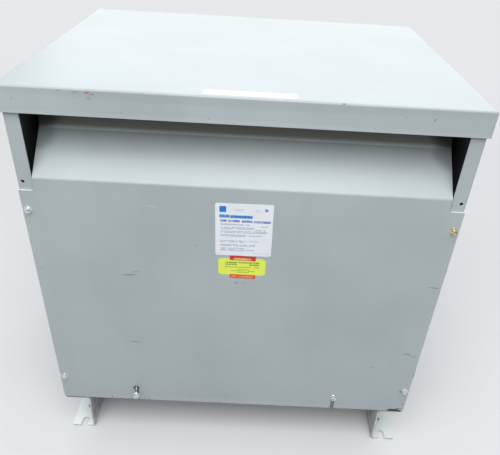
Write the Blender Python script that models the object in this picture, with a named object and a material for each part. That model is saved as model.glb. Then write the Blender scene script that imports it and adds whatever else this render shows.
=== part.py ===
"""Ventilated dry-type power transformer: folded steel case on two channel feet, core and coils inside.

Metres, +Z up. The front faces -Y. The origin is on the ground under the middle of the case.
"""
import math

import bmesh
import bpy
from mathutils import Matrix, Vector, geometry

# Fits
GAP = 0.0003                 # left between pieces that touch
SIDE_PLAY = 0.001            # between a cover's sloped top and the case side it passes

# Lid
LID_WIDTH = 0.715
LID_DEPTH = 0.568
HEIGHT = 0.747               # ground to the top of the lid
LID_SKIRT = 0.040
LID_OVERHANG = 0.0035        # how far the skirt stands outside the case

# Sheet metal
SHEET = 0.0019               # 14 gauge
BEND_RADIUS = 0.0022         # inside radius of the tight folds
CORNER_RADIUS = 0.0030       # welded and dressed corners
LEAST_CORNER = 0.0005        # the corners stay this round on the inside of the fold
BEND_STEPS = 4

# Front and rear covers
COVER_BOTTOM = 0.095
EAR_TOP = 0.580              # the corners are notched above this height
COVER_BEND = 0.602           # here the cover leans in towards the air outlet
SLOPE_DEPTH = 0.061
SLOPE_RISE = 0.059
LIP_DEPTH = 0.0135
LIP_RISE = 0.030
COVER_BEND_RADIUS = 0.004
SCREW_INSET = 0.009          # cover screws, in from the cover's side edge
SCREW_HEIGHTS = (0.157, 0.545)
SCREW_HOLE = 0.0070
SPARE_HOLE_HEIGHT = 0.594    # open hole in the case flange above the ear
SPARE_HOLE = 0.0056
BASE_BOLT_FROM_SIDE = 0.1515 # base bolts, in from the case's side
BASE_BOLT_HEIGHT = 0.130
BASE_SLOT_WIDTH = 0.0072     # slot up from the cover's bottom edge
BASE_KEYHOLE = 0.0130        # round top of that slot
DENT_FROM_EDGE = 0.0185      # middle of the bent-up stretch, in from the front cover's right edge
DENT_WIDTH = 0.034
DENT_HEIGHT = 0.0045

# Case sides
SIDE_FLANGE = 0.024

# Feet
FOOT_SHEET = 0.0034          # 10 gauge
FOOT_INSET = 0.0030          # how far the flange stays inside the case's side
FOOT_FLANGE = 0.0486
FOOT_SLOT_WIDTH = 0.0140
FOOT_SLOT_DEPTH = 0.0195
FOOT_SLOT_FROM_WEB = 0.0231
FOOT_HOLE = 0.0072
FOOT_HOLE_BACK = 0.050       # from the end of the foot

# Base
BASE_SHEET = 0.0030
BASE_RAIL_WIDTH = 0.045
BASE_RAIL_HEIGHT = 0.050
CORE_RAIL_SPACING = 0.300
CORE_RAIL_WIDTH = 0.050
CORE_RAIL_HEIGHT = 0.028
PAD_SIZE = 0.046
PAD_THICKNESS = 0.012
PAD_CORNER = 0.006

# Core
LEG_SPACING = 0.170
LEG_WIDTH = 0.080
CORE_STACK = 0.105           # front to back
YOKE_HEIGHT = 0.080
WINDOW_HEIGHT = 0.290
YOKE_ABOVE_CLAMP = 0.004     # the lower yoke's underside above the clamp's underside

# Windings
INNER_WINDING = 0.012
DUCT = 0.009
OUTER_WINDING = 0.017
COIL_END = 0.013             # between a coil's end and the yoke
COIL_CORNER = 0.014
BORE_CORNER = 0.0003         # the inner winding is wound tight on the square leg
DUCT_STICK = 0.007
COIL_STEPS = 5

# Clamps
CLAMP_SHEET = 0.0030
CLAMP_FLANGE = 0.030
CLAMP_END = 0.012            # how far a clamp stands past the core's end
REST_WIDTH = 0.026
REST_EDGE = 0.002

# Terminals
BOARD_THICKNESS = 0.006
BOARD_ABOVE_CLAMP = 0.012
TERMINAL_WIDTH = 0.030
TERMINAL_THICKNESS = 0.006
TERMINAL_ABOVE_BOARD = 0.026 # leaves room for the lug bolt's nut above the board
TERMINAL_HOLE = 0.0110
TERMINAL_CORNER = 0.004

ROUND_STEPS = 12

# Worked out from the sizes above
CASE_HALF_WIDTH = LID_WIDTH / 2 - LID_OVERHANG
CASE_HALF_DEPTH = LID_DEPTH / 2 - LID_OVERHANG
COVER_BACK = CASE_HALF_DEPTH - SHEET
SIDE_HALF_DEPTH = COVER_BACK - GAP
SIDE_BOTTOM = COVER_BOTTOM + GAP
SIDE_TOP = HEIGHT - SHEET - GAP
SIDE_INNER_EDGE = CASE_HALF_WIDTH - SIDE_FLANGE
SLOPE_HALF_WIDTH = SIDE_INNER_EDGE - SIDE_PLAY
SCREW_X = CASE_HALF_WIDTH - SCREW_INSET
BASE_BOLT_X = CASE_HALF_WIDTH - BASE_BOLT_FROM_SIDE

FOOT_TOP = COVER_BOTTOM
FOOT_OUTER = CASE_HALF_WIDTH - FOOT_INSET
FOOT_INNER = FOOT_OUTER - FOOT_FLANGE
RAIL_BOTTOM = FOOT_TOP + GAP
RAIL_HALF_LENGTH = SIDE_INNER_EDGE - GAP
RAIL_FLANGE_TOP = RAIL_BOTTOM + BASE_SHEET
CORE_RAIL_BOTTOM = RAIL_FLANGE_TOP + GAP
CORE_RAIL_TOP = CORE_RAIL_BOTTOM + CORE_RAIL_HEIGHT
CORE_RAIL_HALF_LENGTH = SIDE_HALF_DEPTH - BASE_SHEET - BEND_RADIUS - GAP
PAD_TOP = CORE_RAIL_TOP + GAP + PAD_THICKNESS

CLAMP_BOTTOM = PAD_TOP + GAP
LOWER_YOKE_BOTTOM = CLAMP_BOTTOM + YOKE_ABOVE_CLAMP
LEG_BOTTOM = LOWER_YOKE_BOTTOM + YOKE_HEIGHT + GAP
LEG_TOP = LEG_BOTTOM + WINDOW_HEIGHT
UPPER_YOKE_BOTTOM = LEG_TOP + GAP
UPPER_YOKE_TOP = UPPER_YOKE_BOTTOM + YOKE_HEIGHT
CORE_HALF_WIDTH = LEG_SPACING + LEG_WIDTH / 2
CORE_HALF_STACK = CORE_STACK / 2
CLAMP_WEB = CORE_HALF_STACK + GAP
CLAMP_EDGE = CLAMP_WEB + CLAMP_FLANGE
CLAMP_HALF_LENGTH = CORE_HALF_WIDTH + CLAMP_END
LOWER_CLAMP_TOP = LEG_BOTTOM - YOKE_ABOVE_CLAMP
UPPER_CLAMP_BOTTOM = LEG_TOP + YOKE_ABOVE_CLAMP
UPPER_CLAMP_TOP = UPPER_YOKE_TOP
COIL_BOTTOM = LEG_BOTTOM + COIL_END
COIL_TOP = LEG_TOP - COIL_END
INNER_BORE_X = LEG_WIDTH / 2 + GAP
INNER_BORE_Y = CORE_HALF_STACK + GAP
BOARD_BACK = CLAMP_EDGE + GAP
TERMINAL_BACK = BOARD_BACK + BOARD_THICKNESS + GAP
TERMINAL_BOTTOM = COIL_TOP + GAP
BOARD_BOTTOM = UPPER_CLAMP_BOTTOM
BOARD_TOP = UPPER_CLAMP_TOP + BOARD_ABOVE_CLAMP
TERMINAL_TOP = BOARD_TOP + TERMINAL_ABOVE_BOARD


def clear_scene():
    """Remove every object, so that the file can be run again."""
    for old in list(bpy.data.objects):
        bpy.data.objects.remove(old, do_unlink=True)


def finish_material(name, colour, roughness, metallic=0.0):
    """A Principled material with a plain colour."""
    made = bpy.data.materials.new(name)
    made.use_nodes = True
    shader = made.node_tree.nodes["Principled BSDF"]
    shader.inputs["Base Color"].default_value = (*colour, 1.0)
    shader.inputs["Roughness"].default_value = roughness
    shader.inputs["Metallic"].default_value = metallic
    made.diffuse_color = (*colour, 1.0)
    return made


def add_object(name, mesh_data, material=None, smooth=0.0):
    """Link a mesh to the scene as one named piece, smooth below the given edge angle."""
    if material is not None:
        mesh_data.materials.append(material)
    if smooth:
        mesh_data.shade_smooth()
        mesh_data.set_sharp_from_angle(angle=smooth)
    made = bpy.data.objects.new(name, mesh_data)
    bpy.context.scene.collection.objects.link(made)
    return made


def to_mesh(name, shape):
    """Turn a bmesh into mesh data with its faces pointing out."""
    bmesh.ops.recalc_face_normals(shape, faces=shape.faces)
    data = bpy.data.meshes.new(name)
    shape.to_mesh(data)
    shape.free()
    return data


def along_axis(axis, level, point):
    """Place a 2-D outline point in space, at a level along the axis it is extruded on."""
    first, second = point
    if axis == "X":
        return Vector((level, first, second))
    if axis == "Y":
        return Vector((first, level, second))
    return Vector((first, second, level))


def prism(name, axis, low, high, outline, holes=()):
    """Extrude a closed outline, with any holes in it, between two levels of an axis."""
    loops = [list(outline)] + [list(hole) for hole in holes]
    flat = [[Vector((u, v, 0.0)) for u, v in loop] for loop in loops]
    triangles = geometry.tessellate_polygon(flat)
    shape = bmesh.new()
    lower = []
    upper = []
    for loop in loops:
        lower.append([shape.verts.new(along_axis(axis, low, point)) for point in loop])
        upper.append([shape.verts.new(along_axis(axis, high, point)) for point in loop])
    all_lower = [vert for loop in lower for vert in loop]
    all_upper = [vert for loop in upper for vert in loop]
    for corner in triangles:
        shape.faces.new([all_lower[index] for index in corner])
        shape.faces.new([all_upper[index] for index in corner])
    for low_loop, high_loop in zip(lower, upper):
        count = len(low_loop)
        for index in range(count):
            follow = (index + 1) % count
            shape.faces.new((low_loop[index], low_loop[follow], high_loop[follow], high_loop[index]))
    return to_mesh(name, shape)


def arc(centre, radius, start, end, steps):
    """Points along an arc, both ends included; angles in radians."""
    points = []
    for step in range(steps + 1):
        angle = start + (end - start) * step / steps
        points.append((centre[0] + radius * math.cos(angle), centre[1] + radius * math.sin(angle)))
    return points


def circle(centre, diameter, steps=ROUND_STEPS):
    """Points round a circle."""
    return arc(centre, diameter / 2, 0.0, 2 * math.pi * (steps - 1) / steps, steps - 1)


def rounded_rectangle(half_u, half_v, radius, steps, centre=(0.0, 0.0)):
    """Outline of a rectangle with round corners, counter-clockwise."""
    points = []
    for quarter, (sign_u, sign_v) in enumerate(((1, 1), (-1, 1), (-1, -1), (1, -1))):
        middle = (centre[0] + sign_u * (half_u - radius), centre[1] + sign_v * (half_v - radius))
        start = quarter * math.pi / 2
        points += arc(middle, radius, start, start + math.pi / 2, steps)
    return points


def folded_sheet(corners, thickness, side, radius, steps=BEND_STEPS):
    """Cross-section of a folded sheet.

    The corners lie on one face of the sheet. The thickness goes to the left (side 1) or to the
    right (side -1) of the way from the first corner to the last, and each fold has the same
    inside radius.
    """
    face = [corners[0]]
    back = [shift_sideways(corners[0], corners[1], corners[0], side * thickness)]
    for before, corner, after in zip(corners, corners[1:], corners[2:]):
        come = unit(before, corner)
        leave = unit(corner, after)
        turn = come[0] * leave[1] - come[1] * leave[0]
        toward = 1 if turn * side > 0 else -1
        face_radius = radius + thickness if toward > 0 else radius
        back_radius = radius if toward > 0 else radius + thickness
        angle = math.atan2(turn, come[0] * leave[0] + come[1] * leave[1])
        reach = face_radius * abs(math.tan(angle / 2))
        inward = side * toward
        centre = (corner[0] - come[0] * reach - come[1] * inward * face_radius,
                  corner[1] - come[1] * reach + come[0] * inward * face_radius)
        start = math.atan2(-come[0] * inward, come[1] * inward)
        face += arc(centre, face_radius, start, start + angle, steps)
        back += arc(centre, back_radius, start, start + angle, steps)
    face.append(corners[-1])
    back.append(shift_sideways(corners[-2], corners[-1], corners[-1], side * thickness))
    return face + back[::-1]


def unit(start, end):
    """Direction from one 2-D point to another."""
    length = math.hypot(end[0] - start[0], end[1] - start[1])
    return ((end[0] - start[0]) / length, (end[1] - start[1]) / length)


def shift_sideways(start, end, point, distance):
    """Move a point to the left of the direction start to end."""
    ahead = unit(start, end)
    return (point[0] - ahead[1] * distance, point[1] + ahead[0] * distance)


def pan(name, half_u, half_v, depth, thickness, radius, corner):
    """A shallow tray folded from sheet, its flat outside at z = 0 and its flange hanging down.

    The fold's section is carried round the rectangle: up the outside of the flange, over the
    bend, and back down the inside.
    """
    outer_radius = radius + thickness
    rounding = [math.pi / 2 * step / BEND_STEPS for step in range(BEND_STEPS + 1)]
    outside = [(outer_radius * (1 - math.cos(a)), outer_radius * (math.sin(a) - 1)) for a in rounding]
    inside = [(outer_radius - radius * math.cos(a), radius * math.sin(a) - outer_radius) for a in rounding]
    section = [(0.0, -depth)] + outside + inside[::-1] + [(thickness, -depth)]
    shape = bmesh.new()
    rings = []
    for inset, level in section:
        bend = max(corner - inset, LEAST_CORNER)
        outline = rounded_rectangle(half_u - inset, half_v - inset, bend, BEND_STEPS)
        rings.append([shape.verts.new((u, v, level)) for u, v in outline])
    flat_outside = len(outside)
    count = len(rings[0])
    for position, ring in enumerate(rings):
        if position == flat_outside:
            continue
        follow = rings[(position + 1) % len(rings)]
        for index in range(count):
            step = (index + 1) % count
            shape.faces.new((ring[index], ring[step], follow[step], follow[index]))
    shape.faces.new(rings[flat_outside])
    shape.faces.new(rings[flat_outside + 1])
    return to_mesh(name, shape)


def cutter(name, data, parent=None):
    """A guide solid that is only there to be cut from another piece."""
    made = add_object(name, data)
    made.hide_render = True
    made.display_type = "WIRE"
    if parent is not None:
        made.parent = parent
    return made


def subtract(target, tool):
    """Cut one solid out of another."""
    change = target.modifiers.new(tool.name, "BOOLEAN")
    change.operation = "DIFFERENCE"
    change.solver = "EXACT"
    change.object = tool


def make_lid(material):
    """The lid: a shallow tray turned over the case."""
    data = pan("lid", LID_WIDTH / 2, LID_DEPTH / 2, LID_SKIRT, SHEET, BEND_RADIUS, CORNER_RADIUS)
    lid = add_object("lid", data, material, smooth=math.radians(30))
    lid.location.z = HEIGHT


def make_side(name, side, material):
    """One side of the case: a sheet with its four edges folded in.

    The front and rear folds are the corner straps that the covers are screwed to.
    """
    half_height = (SIDE_TOP - SIDE_BOTTOM) / 2
    data = pan(name, half_height, SIDE_HALF_DEPTH, SIDE_FLANGE, SHEET, BEND_RADIUS, CORNER_RADIUS)
    panel = add_object(name, data, material, smooth=math.radians(30))
    panel.location = (side * CASE_HALF_WIDTH, 0.0, SIDE_BOTTOM + half_height)
    panel.rotation_euler.y = side * math.pi / 2
    for label, height, diameter in (("screw_low", SCREW_HEIGHTS[0], SCREW_HOLE),
                                    ("screw_high", SCREW_HEIGHTS[1], SCREW_HOLE),
                                    ("spare", SPARE_HOLE_HEIGHT, SPARE_HOLE)):
        hole = circle((side * SCREW_X, height), diameter)
        reach = CASE_HALF_DEPTH
        tool = cutter(f"{name}_{label}_cut", prism(f"{name}_{label}", "Y", -reach, reach, hole))
        subtract(panel, tool)


def make_cover(name, turn, dented, material):
    """Front or rear cover: flat sheet, then a slope and a steep lip that leave the air outlet."""
    front = -CASE_HALF_DEPTH
    path = [(front, COVER_BOTTOM), (front, COVER_BEND),
            (front + SLOPE_DEPTH, COVER_BEND + SLOPE_RISE),
            (front + SLOPE_DEPTH + LIP_DEPTH, COVER_BEND + SLOPE_RISE + LIP_RISE)]
    section = folded_sheet(path, SHEET, -1, COVER_BEND_RADIUS)
    data = prism(name, "X", -CASE_HALF_WIDTH, CASE_HALF_WIDTH, section)
    cover = add_object(name, data, material, smooth=math.radians(30))
    beyond = SIDE_FLANGE
    back = front + SLOPE_DEPTH + LIP_DEPTH + beyond
    for side in (-1, 1):
        edges = sorted((side * SLOPE_HALF_WIDTH, side * (CASE_HALF_WIDTH + beyond)))
        notch = [(edges[0], EAR_TOP), (edges[1], EAR_TOP), (edges[1], HEIGHT), (edges[0], HEIGHT)]
        place = "left" if side < 0 else "right"
        solid = prism(f"{name}_notch_{place}", "Y", front - beyond, back, notch)
        subtract(cover, cutter(f"{name}_notch_{place}_cut", solid, cover))
        bolt_x = side * BASE_BOLT_X
        half = BASE_SLOT_WIDTH / 2
        lean = math.asin(BASE_SLOT_WIDTH / BASE_KEYHOLE)
        slot = [(bolt_x - half, COVER_BOTTOM - beyond), (bolt_x + half, COVER_BOTTOM - beyond)]
        slot += arc((bolt_x, BASE_BOLT_HEIGHT), BASE_KEYHOLE / 2,
                    lean - math.pi / 2, 3 * math.pi / 2 - lean, ROUND_STEPS)
        solid = prism(f"{name}_slot_{place}", "Y", front - SHEET, front + 2 * SHEET, slot)
        subtract(cover, cutter(f"{name}_slot_{place}_cut", solid, cover))
        for level, height in enumerate(SCREW_HEIGHTS):
            hole = circle((side * SCREW_X, height), SCREW_HOLE)
            solid = prism(f"{name}_hole_{place}_{level}", "Y", front - SHEET, front + 2 * SHEET, hole)
            subtract(cover, cutter(f"{name}_hole_{place}_{level}_cut", solid, cover))
    if dented:
        solid = prism(f"{name}_dent", "Y", front - SHEET, front + 2 * SHEET, dent_outline())
        subtract(cover, cutter(f"{name}_dent_cut", solid, cover))
    cover.rotation_euler.z = turn


def dent_outline():
    """Flat arc where a knock has lifted the cover's bottom edge."""
    half = DENT_WIDTH / 2
    radius = (half ** 2 + DENT_HEIGHT ** 2) / (2 * DENT_HEIGHT)
    reach = math.asin(half / radius)
    centre = (CASE_HALF_WIDTH - DENT_FROM_EDGE, COVER_BOTTOM + DENT_HEIGHT - radius)
    top = arc(centre, radius, math.pi / 2 - reach, math.pi / 2 + reach, ROUND_STEPS)
    below = COVER_BOTTOM - DENT_HEIGHT
    return [(top[-1][0], below), (top[0][0], below)] + top


def make_foot(name, side, material):
    """A channel that runs front to back, open to the outside, slotted at both ends."""
    inner = side * FOOT_INNER
    outer = side * FOOT_OUTER
    path = [(outer, 0.0), (inner, 0.0), (inner, FOOT_TOP), (outer, FOOT_TOP)]
    section = folded_sheet(path, FOOT_SHEET, -side, BEND_RADIUS)
    data = prism(name, "Y", -CASE_HALF_DEPTH, CASE_HALF_DEPTH, section)
    foot = add_object(name, data, material, smooth=math.radians(30))
    slot_x = side * (FOOT_INNER + FOOT_SLOT_FROM_WEB)
    half = FOOT_SLOT_WIDTH / 2
    for end, place in ((-1, "front"), (1, "rear")):
        tip = end * CASE_HALF_DEPTH
        round_end = tip - end * (FOOT_SLOT_DEPTH - half)
        start = math.pi if end > 0 else 0.0
        slot = [(slot_x + end * half, tip + end * half), (slot_x - end * half, tip + end * half)]
        slot += arc((slot_x, round_end), half, start, start + math.pi, ROUND_STEPS // 2)
        solid = prism(f"{name}_slot_{place}", "Z", -FOOT_SHEET, 2 * FOOT_SHEET, slot)
        subtract(foot, cutter(f"{name}_slot_{place}_cut", solid))
        hole = circle((slot_x, tip - end * FOOT_HOLE_BACK), FOOT_HOLE)
        solid = prism(f"{name}_hole_{place}", "Z", -FOOT_SHEET, 2 * FOOT_SHEET, hole)
        subtract(foot, cutter(f"{name}_hole_{place}_cut", solid))


def make_base_rail(name, end, material):
    """Angle across the case behind a cover, resting on the feet."""
    face = end * SIDE_HALF_DEPTH
    path = [(face, RAIL_BOTTOM + BASE_RAIL_HEIGHT), (face, RAIL_BOTTOM),
            (face - end * BASE_RAIL_WIDTH, RAIL_BOTTOM)]
    section = folded_sheet(path, BASE_SHEET, -end, BEND_RADIUS)
    data = prism(name, "X", -RAIL_HALF_LENGTH, RAIL_HALF_LENGTH, section)
    rail = add_object(name, data, material, smooth=math.radians(30))
    for side, place in ((-1, "left"), (1, "right")):
        hole = circle((side * BASE_BOLT_X, BASE_BOLT_HEIGHT), BASE_SLOT_WIDTH)
        levels = sorted((face - end * 2 * BASE_SHEET, face + end * BASE_SHEET))
        solid = prism(f"{name}_hole_{place}", "Y", levels[0], levels[1], hole)
        subtract(rail, cutter(f"{name}_hole_{place}_cut", solid))


def make_core_rail(name, side, material):
    """Channel turned down, front to back, that carries the core on two pads."""
    middle = side * CORE_RAIL_SPACING / 2
    half = CORE_RAIL_WIDTH / 2
    path = [(middle - half, CORE_RAIL_BOTTOM), (middle - half, CORE_RAIL_TOP),
            (middle + half, CORE_RAIL_TOP), (middle + half, CORE_RAIL_BOTTOM)]
    section = folded_sheet(path, BASE_SHEET, -1, BEND_RADIUS)
    data = prism(name, "Y", -CORE_RAIL_HALF_LENGTH, CORE_RAIL_HALF_LENGTH, section)
    add_object(name, data, material, smooth=math.radians(30))


def make_pad(name, side, end, material):
    """Rubber pad between a core rail and the lower clamp."""
    centre = (side * CORE_RAIL_SPACING / 2, end * (CLAMP_WEB + CLAMP_FLANGE / 2))
    outline = rounded_rectangle(PAD_SIZE / 2, PAD_SIZE / 2, PAD_CORNER, BEND_STEPS, centre)
    data = prism(name, "Z", CORE_RAIL_TOP + GAP, PAD_TOP, outline)
    add_object(name, data, material, smooth=math.radians(30))


def make_clamp(name, end, bottom, top, material):
    """Channel pressed against a yoke, its flanges pointing away from the core."""
    web = end * CLAMP_WEB
    edge = end * CLAMP_EDGE
    path = [(edge, bottom), (web, bottom), (web, top), (edge, top)]
    section = folded_sheet(path, CLAMP_SHEET, -end, BEND_RADIUS)
    data = prism(name, "X", -CLAMP_HALF_LENGTH, CLAMP_HALF_LENGTH, section)
    add_object(name, data, material, smooth=math.radians(30))


def make_yoke(name, bottom, material):
    """Stack of core plates that joins the three legs."""
    outline = [(-CORE_HALF_WIDTH, bottom), (CORE_HALF_WIDTH, bottom),
               (CORE_HALF_WIDTH, bottom + YOKE_HEIGHT), (-CORE_HALF_WIDTH, bottom + YOKE_HEIGHT)]
    add_object(name, prism(name, "Y", -CORE_HALF_STACK, CORE_HALF_STACK, outline), material)


def make_leg(name, middle, material):
    """Upright stack of core plates inside a coil."""
    half = LEG_WIDTH / 2
    outline = [(middle - half, LEG_BOTTOM), (middle + half, LEG_BOTTOM),
               (middle + half, LEG_TOP), (middle - half, LEG_TOP)]
    add_object(name, prism(name, "Y", -CORE_HALF_STACK, CORE_HALF_STACK, outline), material)


def ribbed_outline(half_u, half_v, radius, rib, height, middle):
    """Round-cornered rectangle with raised sticks spaced along its four sides."""
    points = []
    sides = ((half_u, half_v, 3), (half_v, half_u, 4), (half_u, half_v, 3), (half_v, half_u, 4))
    for quarter, (half_run, level, sticks) in enumerate(sides):
        straight = half_run - radius
        local = []
        for stick in range(sticks):
            at = -straight + 2 * straight * (stick + 0.5) / sticks
            local += [(at - rib / 2, -level), (at - rib / 2, -level - height),
                      (at + rib / 2, -level - height), (at + rib / 2, -level)]
        local += arc((straight, -level + radius), radius, -math.pi / 2, 0.0, COIL_STEPS)
        turned = Matrix.Rotation(quarter * math.pi / 2, 2)
        for point in local:
            spot = turned @ Vector(point)
            points.append((middle + spot.x, spot.y))
    return points


def make_inner_winding(name, middle, material):
    """Inner winding with the duct sticks bonded to its outside."""
    half_u = INNER_BORE_X + INNER_WINDING
    half_v = INNER_BORE_Y + INNER_WINDING
    outline = ribbed_outline(half_u, half_v, COIL_CORNER, DUCT_STICK, DUCT - GAP, middle)
    bore = rounded_rectangle(INNER_BORE_X, INNER_BORE_Y, BORE_CORNER, BEND_STEPS, (middle, 0.0))
    data = prism(name, "Z", COIL_BOTTOM, COIL_TOP, outline, [bore])
    add_object(name, data, material, smooth=math.radians(30))


def make_outer_winding(name, middle, material):
    """Outer winding, held off the inner one by the duct sticks."""
    inner_u = INNER_BORE_X + INNER_WINDING + DUCT
    inner_v = INNER_BORE_Y + INNER_WINDING + DUCT
    outline = rounded_rectangle(inner_u + OUTER_WINDING, inner_v + OUTER_WINDING,
                                COIL_CORNER + DUCT + OUTER_WINDING, COIL_STEPS, (middle, 0.0))
    bore = rounded_rectangle(inner_u, inner_v, COIL_CORNER + DUCT, COIL_STEPS, (middle, 0.0))
    data = prism(name, "Z", COIL_BOTTOM, COIL_TOP, outline, [bore])
    add_object(name, data, material, smooth=math.radians(30))


def make_rest(name, end, bottom, top, material):
    """Insulating bar that the three coils bear on, in a clamp's flange."""
    middle = end * (CLAMP_EDGE - REST_WIDTH / 2)
    centre = (middle, (bottom + top) / 2)
    outline = rounded_rectangle(REST_WIDTH / 2, (top - bottom) / 2, REST_EDGE, 2, centre)
    data = prism(name, "X", -CORE_HALF_WIDTH, CORE_HALF_WIDTH, outline)
    add_object(name, data, material, smooth=math.radians(30))


def make_board(name, end, material):
    """Insulating board on the edge of an upper clamp, behind the terminals."""
    middle = (0.0, (BOARD_BOTTOM + BOARD_TOP) / 2)
    outline = rounded_rectangle(CORE_HALF_WIDTH, (BOARD_TOP - BOARD_BOTTOM) / 2,
                                TERMINAL_CORNER, BEND_STEPS, middle)
    levels = sorted((end * BOARD_BACK, end * (BOARD_BACK + BOARD_THICKNESS)))
    add_object(name, prism(name, "Y", levels[0], levels[1], outline), material, smooth=math.radians(30))


def make_terminal(name, end, middle, material):
    """Flat bar that rises from an outer winding, drilled at the top for a lug."""
    half_height = (TERMINAL_TOP - TERMINAL_BOTTOM) / 2
    centre = (middle, TERMINAL_BOTTOM + half_height)
    outline = rounded_rectangle(TERMINAL_WIDTH / 2, half_height, TERMINAL_CORNER, BEND_STEPS, centre)
    hole = circle((middle, TERMINAL_TOP - TERMINAL_WIDTH / 2), TERMINAL_HOLE)
    levels = sorted((end * TERMINAL_BACK, end * (TERMINAL_BACK + TERMINAL_THICKNESS)))
    data = prism(name, "Y", levels[0], levels[1], outline, [hole])
    add_object(name, data, material, smooth=math.radians(30))


def build():
    """Make every piece, from the outside in."""
    clear_scene()
    paint = finish_material("grey_paint", (0.40, 0.44, 0.44), 0.40)
    foot_paint = finish_material("foot_paint", (0.46, 0.50, 0.50), 0.42)
    galvanised = finish_material("galvanised", (0.45, 0.46, 0.47), 0.45, 0.8)
    core_steel = finish_material("core_steel", (0.06, 0.055, 0.05), 0.45, 0.3)
    varnish = finish_material("varnished_winding", (0.16, 0.06, 0.025), 0.35)
    board = finish_material("insulation_board", (0.42, 0.16, 0.08), 0.6)
    rubber = finish_material("pad_rubber", (0.02, 0.02, 0.02), 0.8)
    bar = finish_material("tinned_bar", (0.62, 0.62, 0.60), 0.35, 0.9)

    make_lid(paint)
    make_side("side_panel_left", -1, paint)
    make_side("side_panel_right", 1, paint)
    make_cover("front_panel", 0.0, True, paint)
    make_cover("rear_panel", math.pi, False, paint)
    make_foot("foot_left", -1, foot_paint)
    make_foot("foot_right", 1, foot_paint)
    make_base_rail("base_rail_front", -1, galvanised)
    make_base_rail("base_rail_rear", 1, galvanised)
    for side, place in ((-1, "left"), (1, "right")):
        make_core_rail(f"core_rail_{place}", side, galvanised)
        make_pad(f"core_pad_{place}_front", side, -1, rubber)
        make_pad(f"core_pad_{place}_rear", side, 1, rubber)
    make_yoke("core_yoke_lower", LOWER_YOKE_BOTTOM, core_steel)
    make_yoke("core_yoke_upper", UPPER_YOKE_BOTTOM, core_steel)
    for phase, place in ((-1, "left"), (0, "centre"), (1, "right")):
        middle = phase * LEG_SPACING
        make_leg(f"core_leg_{place}", middle, core_steel)
        make_inner_winding(f"inner_winding_{place}", middle, varnish)
        make_outer_winding(f"outer_winding_{place}", middle, varnish)
        make_terminal(f"line_terminal_{place}", -1, middle, bar)
        make_terminal(f"load_terminal_{place}", 1, middle, bar)
    make_terminal("neutral_terminal", 1, LEG_SPACING / 2, bar)
    for end, place in ((-1, "front"), (1, "rear")):
        make_clamp(f"lower_clamp_{place}", end, CLAMP_BOTTOM, LOWER_CLAMP_TOP, galvanised)
        make_clamp(f"upper_clamp_{place}", end, UPPER_CLAMP_BOTTOM, UPPER_CLAMP_TOP, galvanised)
        make_rest(f"coil_rest_lower_{place}", end, LOWER_CLAMP_TOP + GAP, COIL_BOTTOM - GAP, board)
        make_rest(f"coil_rest_upper_{place}", end, COIL_TOP + GAP, UPPER_CLAMP_BOTTOM - GAP, board)
        make_board(f"terminal_board_{place}", end, board)


build()
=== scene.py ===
"""Looks of a ventilated dry-type power transformer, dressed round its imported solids.

Metres, +Z up; the front faces -Y and +X is to the right. The sections follow the object as it is put
together, from the feet to the lid.
"""
import math

import bpy
import numpy as np
from mathutils import Matrix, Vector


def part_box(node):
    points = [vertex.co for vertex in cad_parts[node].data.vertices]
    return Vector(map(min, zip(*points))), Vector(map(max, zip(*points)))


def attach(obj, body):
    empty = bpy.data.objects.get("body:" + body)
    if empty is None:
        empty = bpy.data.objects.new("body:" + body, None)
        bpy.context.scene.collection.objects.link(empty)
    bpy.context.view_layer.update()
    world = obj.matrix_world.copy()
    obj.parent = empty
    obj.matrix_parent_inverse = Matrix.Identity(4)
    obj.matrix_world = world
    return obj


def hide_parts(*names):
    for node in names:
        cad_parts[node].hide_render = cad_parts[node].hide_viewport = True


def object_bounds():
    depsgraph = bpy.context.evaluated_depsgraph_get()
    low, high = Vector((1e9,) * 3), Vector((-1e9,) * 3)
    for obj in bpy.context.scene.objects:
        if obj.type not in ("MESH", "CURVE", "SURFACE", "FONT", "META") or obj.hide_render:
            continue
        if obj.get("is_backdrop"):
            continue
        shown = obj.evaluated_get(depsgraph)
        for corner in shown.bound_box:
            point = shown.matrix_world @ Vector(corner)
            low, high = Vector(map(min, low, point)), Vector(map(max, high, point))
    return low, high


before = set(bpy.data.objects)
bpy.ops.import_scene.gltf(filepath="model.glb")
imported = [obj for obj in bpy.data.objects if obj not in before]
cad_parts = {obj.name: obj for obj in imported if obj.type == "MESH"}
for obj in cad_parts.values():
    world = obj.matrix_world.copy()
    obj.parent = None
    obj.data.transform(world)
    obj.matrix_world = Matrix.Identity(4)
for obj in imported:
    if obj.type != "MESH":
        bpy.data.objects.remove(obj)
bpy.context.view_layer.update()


# Feet
#
# Two channels of 10 gauge steel run front to back under the case, open to the outside. Each lower flange
# has an anchor slot open at both tips and a hole behind it. They are powder coated in a paler grey than
# the case, which paints in the light on their up-facing flanges, and muddy on the webs, where the heavy
# dirt also paints in the shade under the case.
FOOT_SHEET = 0.0034
FOOT_BEND = 0.0056           # outside radius of the folds
FOOT_SLOT_IN = 0.0255        # middle of the anchor slot, in from the flange's edge
FOOT_SLOT_HALF = 0.0070
FOOT_SLOT_DEPTH = 0.0195
FOOT_HOLE_RADIUS = 0.0036
FOOT_HOLE_BACK = 0.050       # from the foot's tip
# paler than the case: painted light on the feet's up-facing flanges
FOOT_GREY_WITH_LIGHT = (0.80, 0.86, 0.87, 1.0)
FOOT_CUT_REACH = 0.016       # grid lines this near the line of the slots make room for them
PAINT_EDGE = 0.0003          # roundness that the coat gives a cut edge
COAT_ROUGHNESS = 0.18
SMOOTH_BELOW = 30.0          # degrees: faces that meet at less than this look smooth
ROUNDED_FROM = 50.0          # degrees: edges sharper than this are rounded off
MERGE = 1e-6                 # grid points closer than this are one
HOLE_STEPS = 12
SIDES = (("left", -1), ("right", 1))


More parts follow.
